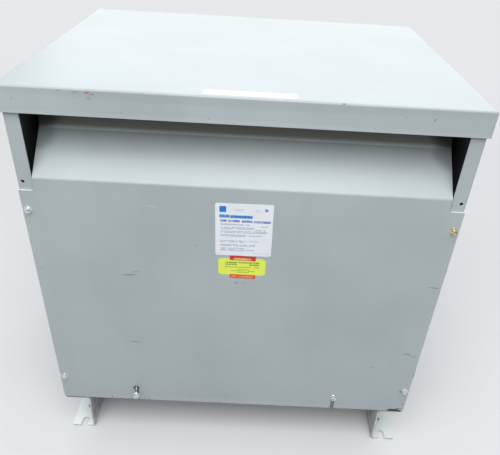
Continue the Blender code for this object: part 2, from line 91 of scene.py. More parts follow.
def spread(low, high, spacing, *extra):
    """Grid lines from low to high at about that spacing.

    The extra places are lines too, and an even line that lies close beside one of them is left out.
    """
    even = np.linspace(low, high, max(int(round((high - low) / spacing)), 1) + 1)
    fixed = np.concatenate([[low, high], *[np.atleast_1d(places) for places in extra]])
    clear = np.abs(even[:, None] - fixed[None, :]).min(axis=1) > 0.4 * spacing
    return np.unique(np.round(np.concatenate([even[clear], fixed]), 7))


def hole_lines(centre, radius):
    """Grid lines across a round hole, closest together at its two ends, where its edge turns fastest."""
    return centre + radius * np.cos(np.linspace(0.0, math.pi, HOLE_STEPS + 1))


def round_width(along, centre, radius):
    """Half the width of a round hole at each place along its middle line, and 0 outside the hole."""
    half = np.sqrt(np.clip(radius ** 2 - (along - centre) ** 2, 0.0, None))
    return np.where(half > 0.02 * radius, half, 0.0)


def open_cuts(lines, cuts, reach):
    """Spread grid lines apart where a sheet is cut.

    A cut is (centre, half width at each place along it), and its centre is there twice among the lines.
    A line at distance d from the centre moves to w + d (reach - w) / reach, where w is the half width
    there, so the two middle lines part by the cut's width and the line at reach stays.
    """
    moved = np.repeat(lines[:, None], len(cuts[0][1]), axis=1)
    for centre, width in cuts:
        middle = np.searchsorted(lines, centre - MERGE)
        sign = np.where(np.arange(len(lines)) <= middle, -1.0, 1.0)[:, None]
        away = np.abs(lines - centre)[:, None]
        spot = centre + sign * (width + away * (reach - width) / reach)
        moved = np.where(away < reach, spot, moved)
    return moved


def bent_profile(corners, radii, spacing, bend_steps=8, extra=()):
    """Stations along a folded sheet's section, and the points there.

    The section runs straight through the corners, and an arc of the given radius rounds each one. The
    heading is even on a run and turns steadily on an arc, so each step is a chord: the step's length
    times sinc of half its turn, in the direction midway between its two headings.
    """
    corners = np.asarray(corners, float)
    ways = np.diff(corners, axis=0)
    headings = np.unwrap(np.arctan2(ways[:, 1], ways[:, 0]))
    turns = np.abs(np.diff(headings))
    tangents = np.asarray(radii) * np.tan(turns / 2)
    lengths = np.empty(2 * len(ways) - 1)
    lengths[0::2] = np.hypot(*ways.T) - np.append(tangents, 0.0) - np.insert(tangents, 0, 0.0)
    lengths[1::2] = np.asarray(radii) * turns
    knots = np.append(0.0, np.cumsum(lengths))
    stations = [knots, spread(knots[0], knots[1], spacing, *extra)]
    stations += [spread(start, end, spacing) for start, end in zip(knots[2::2], knots[3::2])]
    stations += [np.linspace(start, end, bend_steps + 1) for start, end in zip(knots[1:-1:2], knots[2::2])]
    stations = np.unique(np.round(np.concatenate(stations), 9))
    heading = np.interp(stations, knots, np.repeat(headings, 2))
    turn = np.diff(heading)
    chord = np.diff(stations) * np.sinc(turn / (2 * math.pi))
    middle = heading[:-1] + turn / 2
    steps = chord[:, None] * np.stack([np.cos(middle), np.sin(middle)], axis=1)
    return stations, corners[0] + np.concatenate([np.zeros((1, 2)), np.cumsum(steps, axis=0)])


def points_at(x, y, z):
    """A grid of points from their places along the three axes."""
    return np.stack(np.broadcast_arrays(x, y, z), axis=-1)


def grid_mesh(name, *grids):
    """A mesh from surfaces given as points on a grid of two parameters.

    Each grid is (points, cells that stay, whether its faces are turned over). A face joins the points
    (i, j), (i, j+1), (i+1, j+1) and (i+1, j). Points closer than MERGE become one, which closes seams
    and poles, and a face that loses one corner there becomes a triangle.
    """
    places = []
    faces = []
    count = 0
    for points, keep, flip in grids:
        rows, columns = points.shape[:2]
        index = count + np.arange(rows * columns).reshape(rows, columns)
        cells = np.stack([index[:-1, :-1], index[:-1, 1:], index[1:, 1:], index[1:, :-1]], axis=-1)
        cells = cells[np.broadcast_to(keep, cells.shape[:2])]
        faces.append(cells[:, ::-1] if flip else cells)
        places.append(points.reshape(-1, 3))
        count += rows * columns
    rounded = np.round(np.concatenate(places) / MERGE) + 0.0
    places, same = np.unique(rounded, axis=0, return_inverse=True)
    corners = same.reshape(-1)[np.concatenate(faces)]
    repeated = corners == np.roll(corners, -1, axis=1)
    whole = corners[~repeated.any(axis=1)]
    three = repeated.sum(axis=1) == 1
    triangles = corners[three][~repeated[three]]
    used, order = np.unique(np.concatenate([whole.reshape(-1), triangles]), return_inverse=True)
    fours = order[:whole.size].reshape(-1, 4)
    threes = order[whole.size:].reshape(-1, 3)
    made = bpy.data.meshes.new(name)
    made.from_pydata((places[used] * MERGE).tolist(), [], fours.tolist() + threes.tolist())
    return made


def link_object(name, data):
    """Put a mesh, lamp or camera into the scene."""
    made = bpy.data.objects.new(name, data)
    bpy.context.scene.collection.objects.link(made)
    return made


def add_piece(mesh, material, angle=SMOOTH_BELOW):
    """Put a mesh into the scene as a piece of the case, smooth where its faces meet below that angle."""
    mesh.materials.append(material)
    mesh.shade_smooth()
    mesh.set_sharp_from_angle(angle=math.radians(angle))
    piece = link_object(mesh.name, mesh)
    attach(piece, "root")
    return piece


def put(thing, **settings):
    """Set several attributes of a thing, and give it back."""
    for key, value in settings.items():
        setattr(thing, key, value)
    return thing


def give_wall(piece, thickness, edge=PAINT_EDGE):
    """Make a sheet's outer face a closed wall, inwards, with the cut edges rounded off."""
    put(piece.modifiers.new("wall", "SOLIDIFY"), thickness=thickness, offset=-1.0, use_even_offset=True)
    put(piece.modifiers.new("rounding", "BEVEL"), width=edge, segments=2, limit_method="ANGLE",
        angle_limit=math.radians(ROUNDED_FROM), use_clamp_overlap=False)
    put(piece.modifiers.new("flats", "WEIGHTED_NORMAL"), keep_sharp=True)


def dress(node, mesh, material, thickness):
    """Put a sheet with its wall in the place of its solid."""
    sheet = add_piece(mesh, material)
    give_wall(sheet, thickness)
    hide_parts(node)


def sum_of(operation):
    """A method that joins a field to a field, number or tuple in one Math or Vector Math node."""
    def joined(first, second):
        """The sum of the two."""
        return (vector_calc if first.socket.type == "VECTOR" else calc)(operation, first, second)
    return joined


class Field:
    """A number, colour, place or shader that changes over a surface: one output of a node."""

    __add__ = sum_of("ADD")
    __sub__ = sum_of("SUBTRACT")
    __mul__ = sum_of("MULTIPLY")
    __truediv__ = sum_of("DIVIDE")

    def __init__(self, socket):
        self.socket = socket
        self.tree = socket.id_data


def set_inputs(node, inputs):
    """Set a node's inputs, and link those that are fields."""
    for key, value in inputs.items():
        if isinstance(value, Field):
            value.tree.links.new(value.socket, node.inputs[key])
        else:
            node.inputs[key].default_value = value


def add_node(kind, inputs, output=0, tree=None, **settings):
    """Add a shader node to the tree that its inputs are in, and give one of its outputs."""
    fields = [value for value in inputs.values() if isinstance(value, Field)]
    node = put((tree or fields[0].tree).nodes.new("ShaderNode" + kind), **settings)
    set_inputs(node, inputs)
    return Field(node.outputs[output])


def calc(operation, *terms):
    """One sum of a Math node."""
    return add_node("Math", dict(enumerate(terms)), operation=operation)


def vector_calc(operation, *terms, output=0):
    """One sum of a Vector Math node, as a vector unless another output is named."""
    return add_node("VectorMath", dict(enumerate(terms)), output, operation=operation)


def mixed(factor, first, second):
    """One colour laid over another by a factor."""
    return add_node("Mix", {0: factor, 6: first, 7: second}, 2, data_type="RGBA")


def ramp(value, low, high, start=0.0, end=1.0):
    """Smooth step from start to end while the value goes from low to high."""
    terms = {0: value, 1: low, 2: high, 3: start, 4: end}
    return add_node("MapRange", terms, interpolation_type="SMOOTHSTEP")


def noise(place, scale, detail=2.0, output=0):
    """Noise of that many waves a metre."""
    return add_node("TexNoise", {"Vector": place, "Scale": scale, "Detail": detail}, output)


def part(place, axis):
    """A place's or a normal's part along X, Y or Z (0, 1 or 2)."""
    return add_node("SeparateXYZ", {0: place}, axis)


def normal_at(place):
    """The surface's normal, in the tree of the place."""
    return add_node("NewGeometry", {}, "Normal", place.tree)


def emboss(height, strength, distance):
    """The normal of a surface that a height raises."""
    return add_node("Bump", {"Height": height, "Strength": strength, "Distance": distance})


def new_finish(name, roughness, metallic=0.0, coat=0.0):
    """A material with its Principled shader: (material, shader, place on the object)."""
    made = bpy.data.materials.new(name)
    made.use_nodes = True
    shader = made.node_tree.nodes["Principled BSDF"]
    set_inputs(shader, {"Roughness": roughness, "Metallic": metallic, "Coat Weight": coat,
                        "Coat Roughness": COAT_ROUGHNESS})
    return made, shader, add_node("TexCoord", {}, "Object", made.node_tree)


ORIGIN = (0.0, 0.0, 0.0)


def shader_group(result, **inputs):
    """Make a node group of the effect below it, with these inputs, their first values and one output.

    The effect's name then stands for a function that places the group in a material with its own values.
    """
    def build(effect):
        """Build the group once."""
        group = bpy.data.node_groups.new(effect.__name__, "ShaderNodeTree")
        for label, value in inputs.items():
            kind = "NodeSocketVector" if isinstance(value, tuple) else "NodeSocketFloat"
            group.interface.new_socket(label, in_out="INPUT", socket_type=kind).default_value = value
        group.interface.new_socket(result, in_out="OUTPUT", socket_type="NodeSocketFloat")
        given = group.nodes.new("NodeGroupInput").outputs
        shown = effect(*[Field(given[label]) for label in inputs])
        set_inputs(group.nodes.new("NodeGroupOutput"), {result: shown})
        return lambda *values: add_node("Group", dict(enumerate(values)), node_tree=group)
    return build


@shader_group("height", place=ORIGIN)
def orange_peel(place):
    """Skin of a baked coat: a fine orange peel over slow swells."""
    return noise(place, 70.0, 1.0) * 0.8 + noise(place, 420.0, 1.0)


@shader_group("mask", place=ORIGIN, low=ORIGIN, high=(1.0, 1.0, 1.0), width=0.002, amount=0.5)
def edge_wear(place, low, high, width, amount):
    """Chips along the edges of a box-shaped piece.

    The distances to the nearest faces across, along and up are sorted, and the middle one is the
    distance to the nearest edge. Noise makes its border ragged, and slow noise keeps it to a few spots.
    """
    nearest = vector_calc("MINIMUM", place - low, high - place)
    x, y, z = [part(nearest, axis) for axis in range(3)]
    edge = calc("MAXIMUM", calc("MINIMUM", x, y), calc("MINIMUM", calc("MAXIMUM", x, y), z))
    ragged = (noise(place, 260.0, 3.0) - 0.5) * (width * 3.0) + edge
    least = amount * -0.3 + 0.72
    return ramp(ragged / width, 1.0, 0.6) * ramp(noise(place, 21.0, 3.0) - least, 0.0, 0.05)


@shader_group("mask", place=ORIGIN, amount=0.5)
def settled_dust(place, amount):
    """Dust that settles on faces that look up, thicker in drifts, with a few wiped places."""
    lies = ramp(part(normal_at(place), 2), 0.25, 0.95)
    drifts = ramp(noise(place, 7.0, 4.0), 0.35, 0.7, 0.35, 1.0)
    specks = ramp(noise(place, 320.0, 2.0), 0.4, 0.75, 0.6, 1.0)
    return lies * drifts * specks * amount


@shader_group("mask", place=ORIGIN, splash_top=0.2, amount=0.5)
def grime(place, splash_top, amount):
    """Dirt that rain has carried down a wall: soft streaks, and a splashed band above the ground."""
    streaks = ramp(noise(place * (26.0, 26.0, 2.2), 1.0, 4.0), 0.5, 0.85, 0.0, 0.5)
    patches = ramp(noise(place, 38.0, 5.0), 0.25, 0.85, 0.25, 1.0)
    splash = ramp(part(place, 2) / splash_top, 1.0, 0.3) * patches
    level = calc("ABSOLUTE", part(normal_at(place), 2))
    return calc("MAXIMUM", streaks, splash) * ramp(level, 0.8, 0.3) * amount


@shader_group("mask", spot=ORIGIN, ragged=0.8, breaks=0.5)
def mark(spot, ragged, breaks):
    """One mark on the paint, in units of its own half size: an ellipse with a ragged border.

    Breaks cuts it into dashes along its length.
    """
    border = (noise(spot, 2.2, 4.0) - 0.5) * ragged + vector_calc("LENGTH", spot, output="Value")
    dashes = ramp(noise(spot, 4.5, 3.0), 0.46, 0.56)
    return ramp(border, 1.0, 0.55) * ((dashes - 1.0) * breaks + 1.0)


@shader_group("mask", place=ORIGIN, middle=ORIGIN)
def inside_face(place, middle):
    """1 on the faces of a piece that look towards a middle: the mask of the painted shade inside the case."""
    towards = vector_calc("DOT_PRODUCT", normal_at(place), middle - place, output="Value")
    return ramp(towards, 0.001, 0.006)


PRIMER = (0.16, 0.165, 0.16, 1.0)
DUST = (0.50, 0.47, 0.41, 1.0)
DIRT = (0.20, 0.17, 0.13, 1.0)
# near black: soot, and painted shade inside the case, in gaps, round holes and at the outlet's ends
SOOT_AND_SHADE = (0.045, 0.046, 0.044, 1.0)
DARK_BROWN = (0.20, 0.18, 0.14, 1.0)
WALL_SPLASH = 0.2            # mud splashes the painted walls up to here
CHIP_WIDTH = 0.0016


def painted_steel(name, node, colour, dusty, dirty, chipped, marks=(), inside_shade=0.8):
    """Powder-coated sheet steel: even colour, orange peel, dust on top, dirt below, chips at the edges, and
    painted shade on the faces inside the case.

    A mark is (place, half size, turn about Y, colour, strength, ragged, breaks), and is laid over the rest.
    """
    made, shader, place = new_finish(name, 0.34)
    low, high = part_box(node)
    tone = noise(place, 5.0, 3.0)
    lighter = tuple(min(channel * 1.05, 1.0) for channel in colour[:3]) + (1.0,)
    darker = tuple(channel * 0.95 for channel in colour[:3]) + (1.0,)
    dirt = grime(place, WALL_SPLASH, dirty)
    settled = settled_dust(place, dusty)
    # painted shade: the faces inside the case are darkened towards near black
    shaded_inside = inside_face(place, tuple((low + high) / 2)) * inside_shade
    chips = edge_wear(place, tuple(low), tuple(high), CHIP_WIDTH, chipped)
    shade = mixed(ramp(tone, 0.3, 0.7), darker, lighter)
    for mask, tint in ((dirt, DIRT), (settled, DUST), (shaded_inside, SOOT_AND_SHADE), (chips, PRIMER)):
        shade = mixed(mask, shade, tint)
    for centre, half, turn, tint, strength, ragged, breaks in marks:
        spot = add_node("Mapping", {"Vector": place, "Location": centre, "Rotation": (0.0, turn, 0.0),
                                    "Scale": half}, vector_type="TEXTURE")
        shade = mixed(mark(spot, ragged, breaks) * strength, shade, tint)
    matt = calc("MAXIMUM", settled, dirt) * 0.35 + (tone * 0.10 + 0.27)
    set_inputs(shader, {"Base Color": shade, "Roughness": chips * 0.25 + matt,
                        "Normal": emboss(chips * -3.0 + orange_peel(place), 1.0, 0.00002)})
    return made


def make_foot(node, side, low, high):
    """One foot: the channel's section carried along Y, its lower flange cut along the line of the slots."""
    outer = max(abs(low.x), abs(high.x))
    inner = min(abs(low.x), abs(high.x))
    half = high.y
    flange = [FOOT_SLOT_IN - FOOT_SLOT_HALF, FOOT_SLOT_IN, FOOT_SLOT_IN + FOOT_SLOT_HALF]
    stations, points = bent_profile([(outer, 0.0), (inner, 0.0), (inner, high.z), (outer, high.z)],
                                    (FOOT_BEND, FOOT_BEND), 0.012, extra=[flange])
    slot_end = FOOT_SLOT_DEPTH - FOOT_SLOT_HALF
    from_tip = np.concatenate([slot_end + FOOT_SLOT_HALF * np.sin(np.linspace(0, math.pi / 2, 9)),
                               hole_lines(FOOT_HOLE_BACK, FOOT_HOLE_RADIUS)])
    along = spread(-half, half, 0.02, half - from_tip, from_tip - half)
    tip = half - np.abs(along)
    width = np.where(tip < slot_end, FOOT_SLOT_HALF, round_width(tip, slot_end, FOOT_SLOT_HALF))
    width = width + round_width(tip, FOOT_HOLE_BACK, FOOT_HOLE_RADIUS)
    lines = np.sort(np.append(stations, FOOT_SLOT_IN))
    across = open_cuts(lines, [(FOOT_SLOT_IN, width)], FOOT_CUT_REACH)
    grid = points_at(side * np.interp(across, stations, points[:, 0]), along,
                     np.interp(across, stations, points[:, 1]))
    return grid_mesh(node + "_channel", (grid, (np.diff(lines) > MERGE)[:, None], side > 0))


for place, side in SIDES:
    node = "foot_" + place
    low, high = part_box(node)
    slot_x = max(abs(low.x), abs(high.x)) - FOOT_SLOT_IN
    # the right foot's flange a little darker, on the right foot alone; a dark brown band across the front end
    # just below the top; black on the top face just behind the cover, dirt and painted shadow of the gap
    # there;
    # painted shade round the hole
    marks = [((side * x, low.y + y, z), half, 0.0, colour, strength, ragged, 0.0)
             for x, y, z, half, colour, strength, ragged in (
                 (0.330, 0.030, FOOT_SHEET, (0.07, 0.09, 0.02), PRIMER, 0.11 + 0.11 * side, 0.2),
                 (0.315, 0.0, high.z - 0.0015, (0.065, 0.0022, 0.0060), DARK_BROWN, 0.75, 0.5),
                 (0.335, 0.0042, high.z, (0.045, 0.0068, 0.0022), SOOT_AND_SHADE, 0.95, 0.2),
                 (slot_x, FOOT_HOLE_BACK, FOOT_SHEET, (0.0056, 0.0056, 0.0060), SOOT_AND_SHADE, 0.9, 0.3))]
    # the paler grey paints in light on the flanges; the heavy dirt also paints in shade on the webs
    paint = painted_steel("foot_paint_" + place, node, FOOT_GREY_WITH_LIGHT, 0.06, 0.8, 0.3, marks, 0.0)
    dress(node, make_foot(node, side, low, high), paint, FOOT_SHEET)


# Base rails and core rails
#
# Two angles lie across the feet behind the covers, and two channels, open below, run between them and
# carry the core. All are bent from galvanised sheet, spot welded where they cross.
RAIL_SHEET = 0.0030
RAIL_BEND = 0.0052           # outside radius
RAIL_SPLASH = 0.30
ENDS = (("front", -1), ("rear", 1))
RAIL_SHADE_BAND = (0.1003, 0.0985)    # painted shade, black, begins at the first height and is full at the second
ZINC = (0.50, 0.515, 0.53, 1.0)
ZINC_DARK = (0.33, 0.345, 0.36, 1.0)
WHITE_RUST = (0.62, 0.62, 0.60, 1.0)
# black of dirt, and of the painted shade low on the base rails
BASE_DIRT_AND_SHADE = (0.045, 0.045, 0.04, 1.0)


@shader_group("grey", place=ORIGIN, scale=120.0)
def spangle(place, scale):
    """Crystals of a zinc coat: cells of several sizes, each with its own grey."""
    bent = vector_calc("MULTIPLY_ADD", noise(place, 60.0, output=1), (0.006, 0.006, 0.006), place)
    return part(add_node("TexVoronoi", {"Vector": bent, "Scale": scale}, "Color"), 0)


def galvanised_steel(name):
    """Zinc-coated steel: spangle in colour and gloss, a white bloom, dust on top, dirt low down, and painted
    shade along the lowest edge.
    """
    made, shader, place = new_finish(name, 0.42, metallic=0.85)
    grey = spangle(place, 130.0)
    bloom = ramp(noise(place, 34.0, 4.0), 0.58, 0.72, 0.0, 0.45)
    settled = settled_dust(place, 0.55)
    level = calc("ABSOLUTE", part(normal_at(place), 2))
    # painted shade: the rails' lowest edge black, which shows through the keyholes
    rail_shade = ramp(part(place, 2), *RAIL_SHADE_BAND) * ramp(level, 0.95, 0.6)
    dirt = calc("MAXIMUM", grime(place, RAIL_SPLASH, 1.0), rail_shade)
    shade = mixed(grey, ZINC_DARK, ZINC)
    for mask, tint in ((bloom, WHITE_RUST), (settled, DUST), (dirt, BASE_DIRT_AND_SHADE)):
        shade = mixed(mask, shade, tint)
    cover = calc("MAXIMUM", dirt, calc("MAXIMUM", settled, bloom))
    set_inputs(shader, {"Base Color": shade, "Metallic": cover * -0.7 + 0.85,
                        "Roughness": cover * 0.3 + (grey * 0.14 + 0.34),
                        "Normal": emboss(grey, 0.4, 0.00003)})
    return made


galvanised = galvanised_steel("galvanised_steel")


def make_bar(node, corners, axis, flip):
    """A folded bar: its section, given as corners, carried straight along X or Y to the node's two ends."""
    low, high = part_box(node)
    stations, points = bent_profile(corners, (RAIL_BEND,) * (len(corners) - 2), 0.01)
    along = spread(low[axis], high[axis], 0.05)
    across, up = points.T[:, :, None]
    grid = points_at(along, across, up) if axis == 0 else points_at(across, along, up)
    dress(node, grid_mesh(node + "_bar", (grid, True, flip)), galvanised, RAIL_SHEET)


for place, end in ENDS:
    low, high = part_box("base_rail_" + place)
    face, inside = (low.y, high.y) if end < 0 else (high.y, low.y)
    make_bar("base_rail_" + place, [(face, high.z), (face, low.z), (inside, low.z)], 0, end < 0)
for place in ("left", "right"):
    low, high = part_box("core_rail_" + place)
    make_bar("core_rail_" + place, [(low.x, low.z), (low.x, high.z), (high.x, high.z), (high.x, low.z)],
             1, False)


# Core pads
#
# Four black rubber blocks, moulded and die cut, that keep the core's hum out of the case. They are held
# by the core's weight.
def dusted(place, shade, amount):
    """Settled dust laid over a colour."""
    return mixed(settled_dust(place, amount), shade, DUST)


def rubber_finish():
    """Black rubber with a mould's dull grain and grey dust on the rim."""
    made, shader, place = new_finish("pad_rubber", 0.7)
    cloudy = mixed(noise(place, 90.0, 3.0), (0.012, 0.012, 0.012, 1), (0.03, 0.03, 0.029, 1))
    set_inputs(shader, {"Base Color": dusted(place, cloudy, 0.7),
                        "Normal": emboss(noise(place, 700.0), 0.5, 0.0001)})
    return made


def repaint(material, *nodes):
    """Give solids whose shape is right their finish."""
    for node in nodes:
        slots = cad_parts[node].data.materials
        slots.clear()
        slots.append(material)


repaint(rubber_finish(),
        *[f"core_pad_{side}_{end}" for side in ("left", "right") for end in ("front", "rear")])


# Core
#
# Thin plates of silicon steel are stacked front to back into two yokes and three legs, and the stack is
# dipped in dark varnish. Its sides show the plates' edges as fine lines.
PLACES = ("left", "centre", "right")


def core_finish():
    """Stacked plate edges: lines that change from plate to plate across Y, under thin varnish."""
    made, shader, place = new_finish("core_plates", 0.45, metallic=0.35, coat=0.25)
    plates, packs = [add_node("TexNoise", {"W": part(place, 1) * scale, "Scale": 1.0, "Detail": detail},
                              noise_dimensions="1D") for scale, detail in ((1400.0, 1.0), (150.0, 2.0))]
    lines = packs * 0.5 + plates * 0.5
    rust = ramp(noise(place, 30.0, 5.0), 0.56, 0.74, 0.0, 0.6)
    shade = mixed(ramp(lines, 0.3, 0.7), (0.035, 0.03, 0.027, 1), (0.11, 0.10, 0.092, 1))
    shade = mixed(rust, shade, (0.15, 0.062, 0.028, 1))
    settled = settled_dust(place, 0.8)
    set_inputs(shader, {"Base Color": mixed(settled, shade, DUST), "Roughness": settled * 0.3 + 0.4,
                        "Normal": emboss(lines, 0.8, 0.0003)})
    return made


repaint(core_finish(), "core_yoke_lower", "core_yoke_upper", *["core_leg_" + place for place in PLACES])


# Core clamps
#
# Four galvanised channels press the yokes together, flanges outwards. Hex bolts through the yoke, with a
# washer at each end, pull each pair of channels together.
BOLT_FLAT = 0.0080           # half the distance across the bolt head's flats
BOLT_HEAD = 0.0065
BOLT_WASHER = 0.0125
WASHER_SHEET = 0.0020
CLAMP_BOLT_X = (-0.195, -0.085, 0.085, 0.195)
FASTENER_SMOOTH = 25.0       # degrees


def head_grid(flat, washer, height, slot_half=0.0002, slot_deep=0.0):
    """A hex head on its round washer, in its own frame: z = 0 on the panel, +Z out of the head.

    Rings run from the rim underneath, up over the washer, up the hexagon and in over the top. Round a
    ring the radius is the least of a circle and of the hexagon, flat / cos(angle to the nearest flat).
    The slot lies along X: each ring has two stations at the same angle on each edge of it, one on the
    top and one on the slot's floor, so the slot's walls stay straight.
    """
    middle = flat * 0.93
    rings = np.array([  # circle's radius, height, and whether the hexagon limits it
        (washer * 0.3, 0.0, 0), (washer, 0.0, 0), (washer * 1.01, 0.0005, 0), (washer * 0.98, 0.0011, 0),
        (flat * 1.19, 0.0016, 0), (flat * 1.2, 0.0018, 1), (flat * 1.2, height - 0.0011, 1),
        (flat * 1.10, height - 0.0006, 1), (flat * 1.0, height - 0.0002, 1), (middle, height, 0),
        (middle * 0.8, height, 0), (middle * 0.5, height, 0), (slot_half, height, 0), (0.0, height, 0)])
    radius, level, hexed = rings.T[:, :, None]
    reach = np.where(hexed > 0, np.minimum(flat, radius), radius)
    side = np.sqrt(np.clip(reach ** 2 - slot_half ** 2, 0.0, None))
    lean = np.arctan2(slot_half, np.where(hexed > 0, np.minimum(flat, side + 1e-9), side))
    lean = np.where(radius <= slot_half, math.pi / 2, lean)
    corner = np.maximum(math.pi / 6, lean)
    floor = lean * np.linspace(0.0, 1.0, 3)
    inner = lean + (corner - lean) * np.linspace(0.0, 1.0, 4)
    outer = corner + (math.pi / 2 - corner) * np.linspace(0.0, 1.0, 6)
    up = np.concatenate([floor, inner, outer], axis=1)
    half_turn = np.concatenate([-up[:, ::-1], up], axis=1)
    angle = np.concatenate([half_turn, half_turn + math.pi, half_turn[:, :1] + 2 * math.pi], axis=1)
    in_slot = np.arange(up.shape[1]) < floor.shape[1]
    slotted = np.concatenate([in_slot[::-1], in_slot, in_slot[::-1], in_slot, in_slot[-1:]])[None, :]
    nearest = np.mod(angle + math.pi / 6, math.pi / 3) - math.pi / 6
    distance = np.where(hexed > 0, np.minimum(radius, flat / np.cos(nearest)), radius)
    level = np.where(slotted, np.minimum(level, np.where(level > 0.0018, height - slot_deep, level)), level)
    return points_at(distance * np.cos(angle), distance * np.sin(angle), level)


def facing(grid, spot, end, turn=0.0, lean=0.0):
    """Turn a fastener's grid about its axis, point it to the front (end -1) or rear (1), and place it.

    Lean swings the axis towards the grid's +X about the place.
    """
    x = grid[..., 0] * math.cos(turn) - grid[..., 1] * math.sin(turn)
    y = grid[..., 0] * math.sin(turn) + grid[..., 1] * math.cos(turn)
    out = grid[..., 2] * math.cos(lean) - x * math.sin(lean)
    x = x * math.cos(lean) + grid[..., 2] * math.sin(lean)
    return points_at(-end * x, end * out, y) + np.asarray(spot)


def add_fasteners(name, grids, material):
    """Put a set of fasteners into the scene as one piece."""
    add_piece(grid_mesh(name, *[(grid, True, False) for grid in grids]), material,
              FASTENER_SMOOTH)


def zinc_finish(name, bright, tarnish, spread_of_tarnish):
    """Bright zinc plate with cloudy tarnish, darkest in the corners of the head."""
    made, shader, place = new_finish(name, 0.28, metallic=1.0)
    clouds = ramp(noise(place, 260.0, 4.0), 0.62 - spread_of_tarnish, 0.72)
    set_inputs(shader, {"Base Color": mixed(clouds, bright, tarnish), "Roughness": clouds * 0.25 + 0.22,
                        "Normal": emboss(noise(place, 1500.0), 0.3, 0.00005)})
    return made


plated = zinc_finish("zinc_plate", (0.74, 0.74, 0.72, 1), (0.42, 0.39, 0.33, 1), 0.08)
clamp_heads = []
for level in ("lower", "upper"):
    for place, end in ENDS:
        node = f"{level}_clamp_{place}"
        low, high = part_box(node)
        edge, web = (low.y, high.y) if end < 0 else (high.y, low.y)
        make_bar(node, [(edge, low.z), (web, low.z), (web, high.z), (edge, high.z)], 0, end < 0)
        for bolt_x in CLAMP_BOLT_X:
            head = head_grid(BOLT_FLAT, BOLT_WASHER, BOLT_HEAD + WASHER_SHEET)
            spot = (bolt_x, web + end * RAIL_SHEET, (low.z + high.z) / 2)
            clamp_heads.append(facing(head, spot, end, bolt_x * 9.0))
add_fasteners("clamp_bolts", clamp_heads, plated)


# Windings
#
# Each leg carries an inner coil and an outer coil of wire wrapped in paper, dipped in brown varnish and
# baked. Sticks keep a duct open between them. The outer coil shows its turns through the last wrap.
COIL_WALL = 0.017
COIL_CORNER = 0.040
TURN_PITCH = 0.0066
TURN_HEIGHT = 0.0009
TURN_POWER = 0.7
COIL_SHOULDER = 0.003
COIL_SMOOTH = 50.0           # degrees
COIL_SPACING = 0.012


def ring_stations(lines_u, lines_v, corner_steps=6):
    """Stations anticlockwise round a rectangle in u and v.

    Each has the direction out of its side, the direction ahead, its place along the side, and how far
    round the corner at the side's end it is. The lines are places along u and along v.
    """
    out = np.array([(1.0, 0.0), (0.0, 1.0), (-1.0, 0.0), (0.0, -1.0)])
    ahead = np.roll(out, -1, axis=0)
    round_corner = np.linspace(0.0, math.pi / 2, corner_steps + 1)[1:]
    sides = []
    for side, places in enumerate((lines_v, -lines_u[::-1], -lines_v[::-1], lines_u)):
        sides.append(np.stack([np.full(len(places), side), places, np.zeros(len(places))]))
        sides.append(np.stack(np.broadcast_arrays(side, places[-1], round_corner)))
    side, along, turn = np.concatenate([*sides, sides[0][:, :1]], axis=1)
    side = side.astype(int)
    return out[side], ahead[side], along, turn


def ring_points(stations, half, inset, corner, least=0.0005):
    """Places in u and v of stations round a rectangle that is drawn in by inset.

    The corner's radius shrinks with the inset down to a least value. A station keeps its place along
    its side until the corner reaches it, and on the corner it goes round the corner's own centre.
    """
    out, ahead, along, turn = stations
    half = np.asarray(half, float)
    room = np.clip(half.min() - inset, 0.0, None)
    radius = np.minimum(np.maximum(corner - inset, least), room)
    reach = np.abs(ahead) @ half - inset - radius
    slide = np.clip(along, -reach, reach) + radius * np.sin(turn)
    stand = np.abs(out) @ half - inset - radius + radius * np.cos(turn)
    return out * stand[..., None] + ahead * slide[..., None]


def winding_finish(name, brown, dark, lap):
    """Varnished paper wrap: laps of tape at an even pitch, a fine weave, runs of varnish and a gloss coat."""
    made, shader, place = new_finish(name, 0.42, coat=0.5)
    laps = calc("FRACT", (part(place, 2) + noise(place, 9.0) * 0.004) / lap)
    edge = ramp(laps, 0.0, 0.12)
    weave = noise(place * (1.0, 1.0, 0.25), 1100.0, 1.0)
    runs = noise(place * (1.0, 1.0, 0.22), 45.0, 4.0)
    shade = mixed(ramp(runs, 0.35, 0.68), dark, brown)
    shade = mixed(edge * -0.7 + 0.7, shade, dark)
    shade = mixed(weave * 0.2, shade, (0.30, 0.15, 0.06, 1))
    set_inputs(shader, {"Base Color": dusted(place, shade, 0.6), "Roughness": runs * 0.3 + 0.25,
                        "Normal": emboss(weave * 0.15 + edge, 0.8, 0.0003)})
    return made


wrap = winding_finish("winding_wrap", (0.20, 0.085, 0.035, 1), (0.075, 0.03, 0.014, 1), 0.0215)
repaint(winding_finish("inner_wrap", (0.27, 0.15, 0.07, 1), (0.11, 0.05, 0.025, 1), 0.0165),
        *["inner_winding_" + place for place in PLACES])


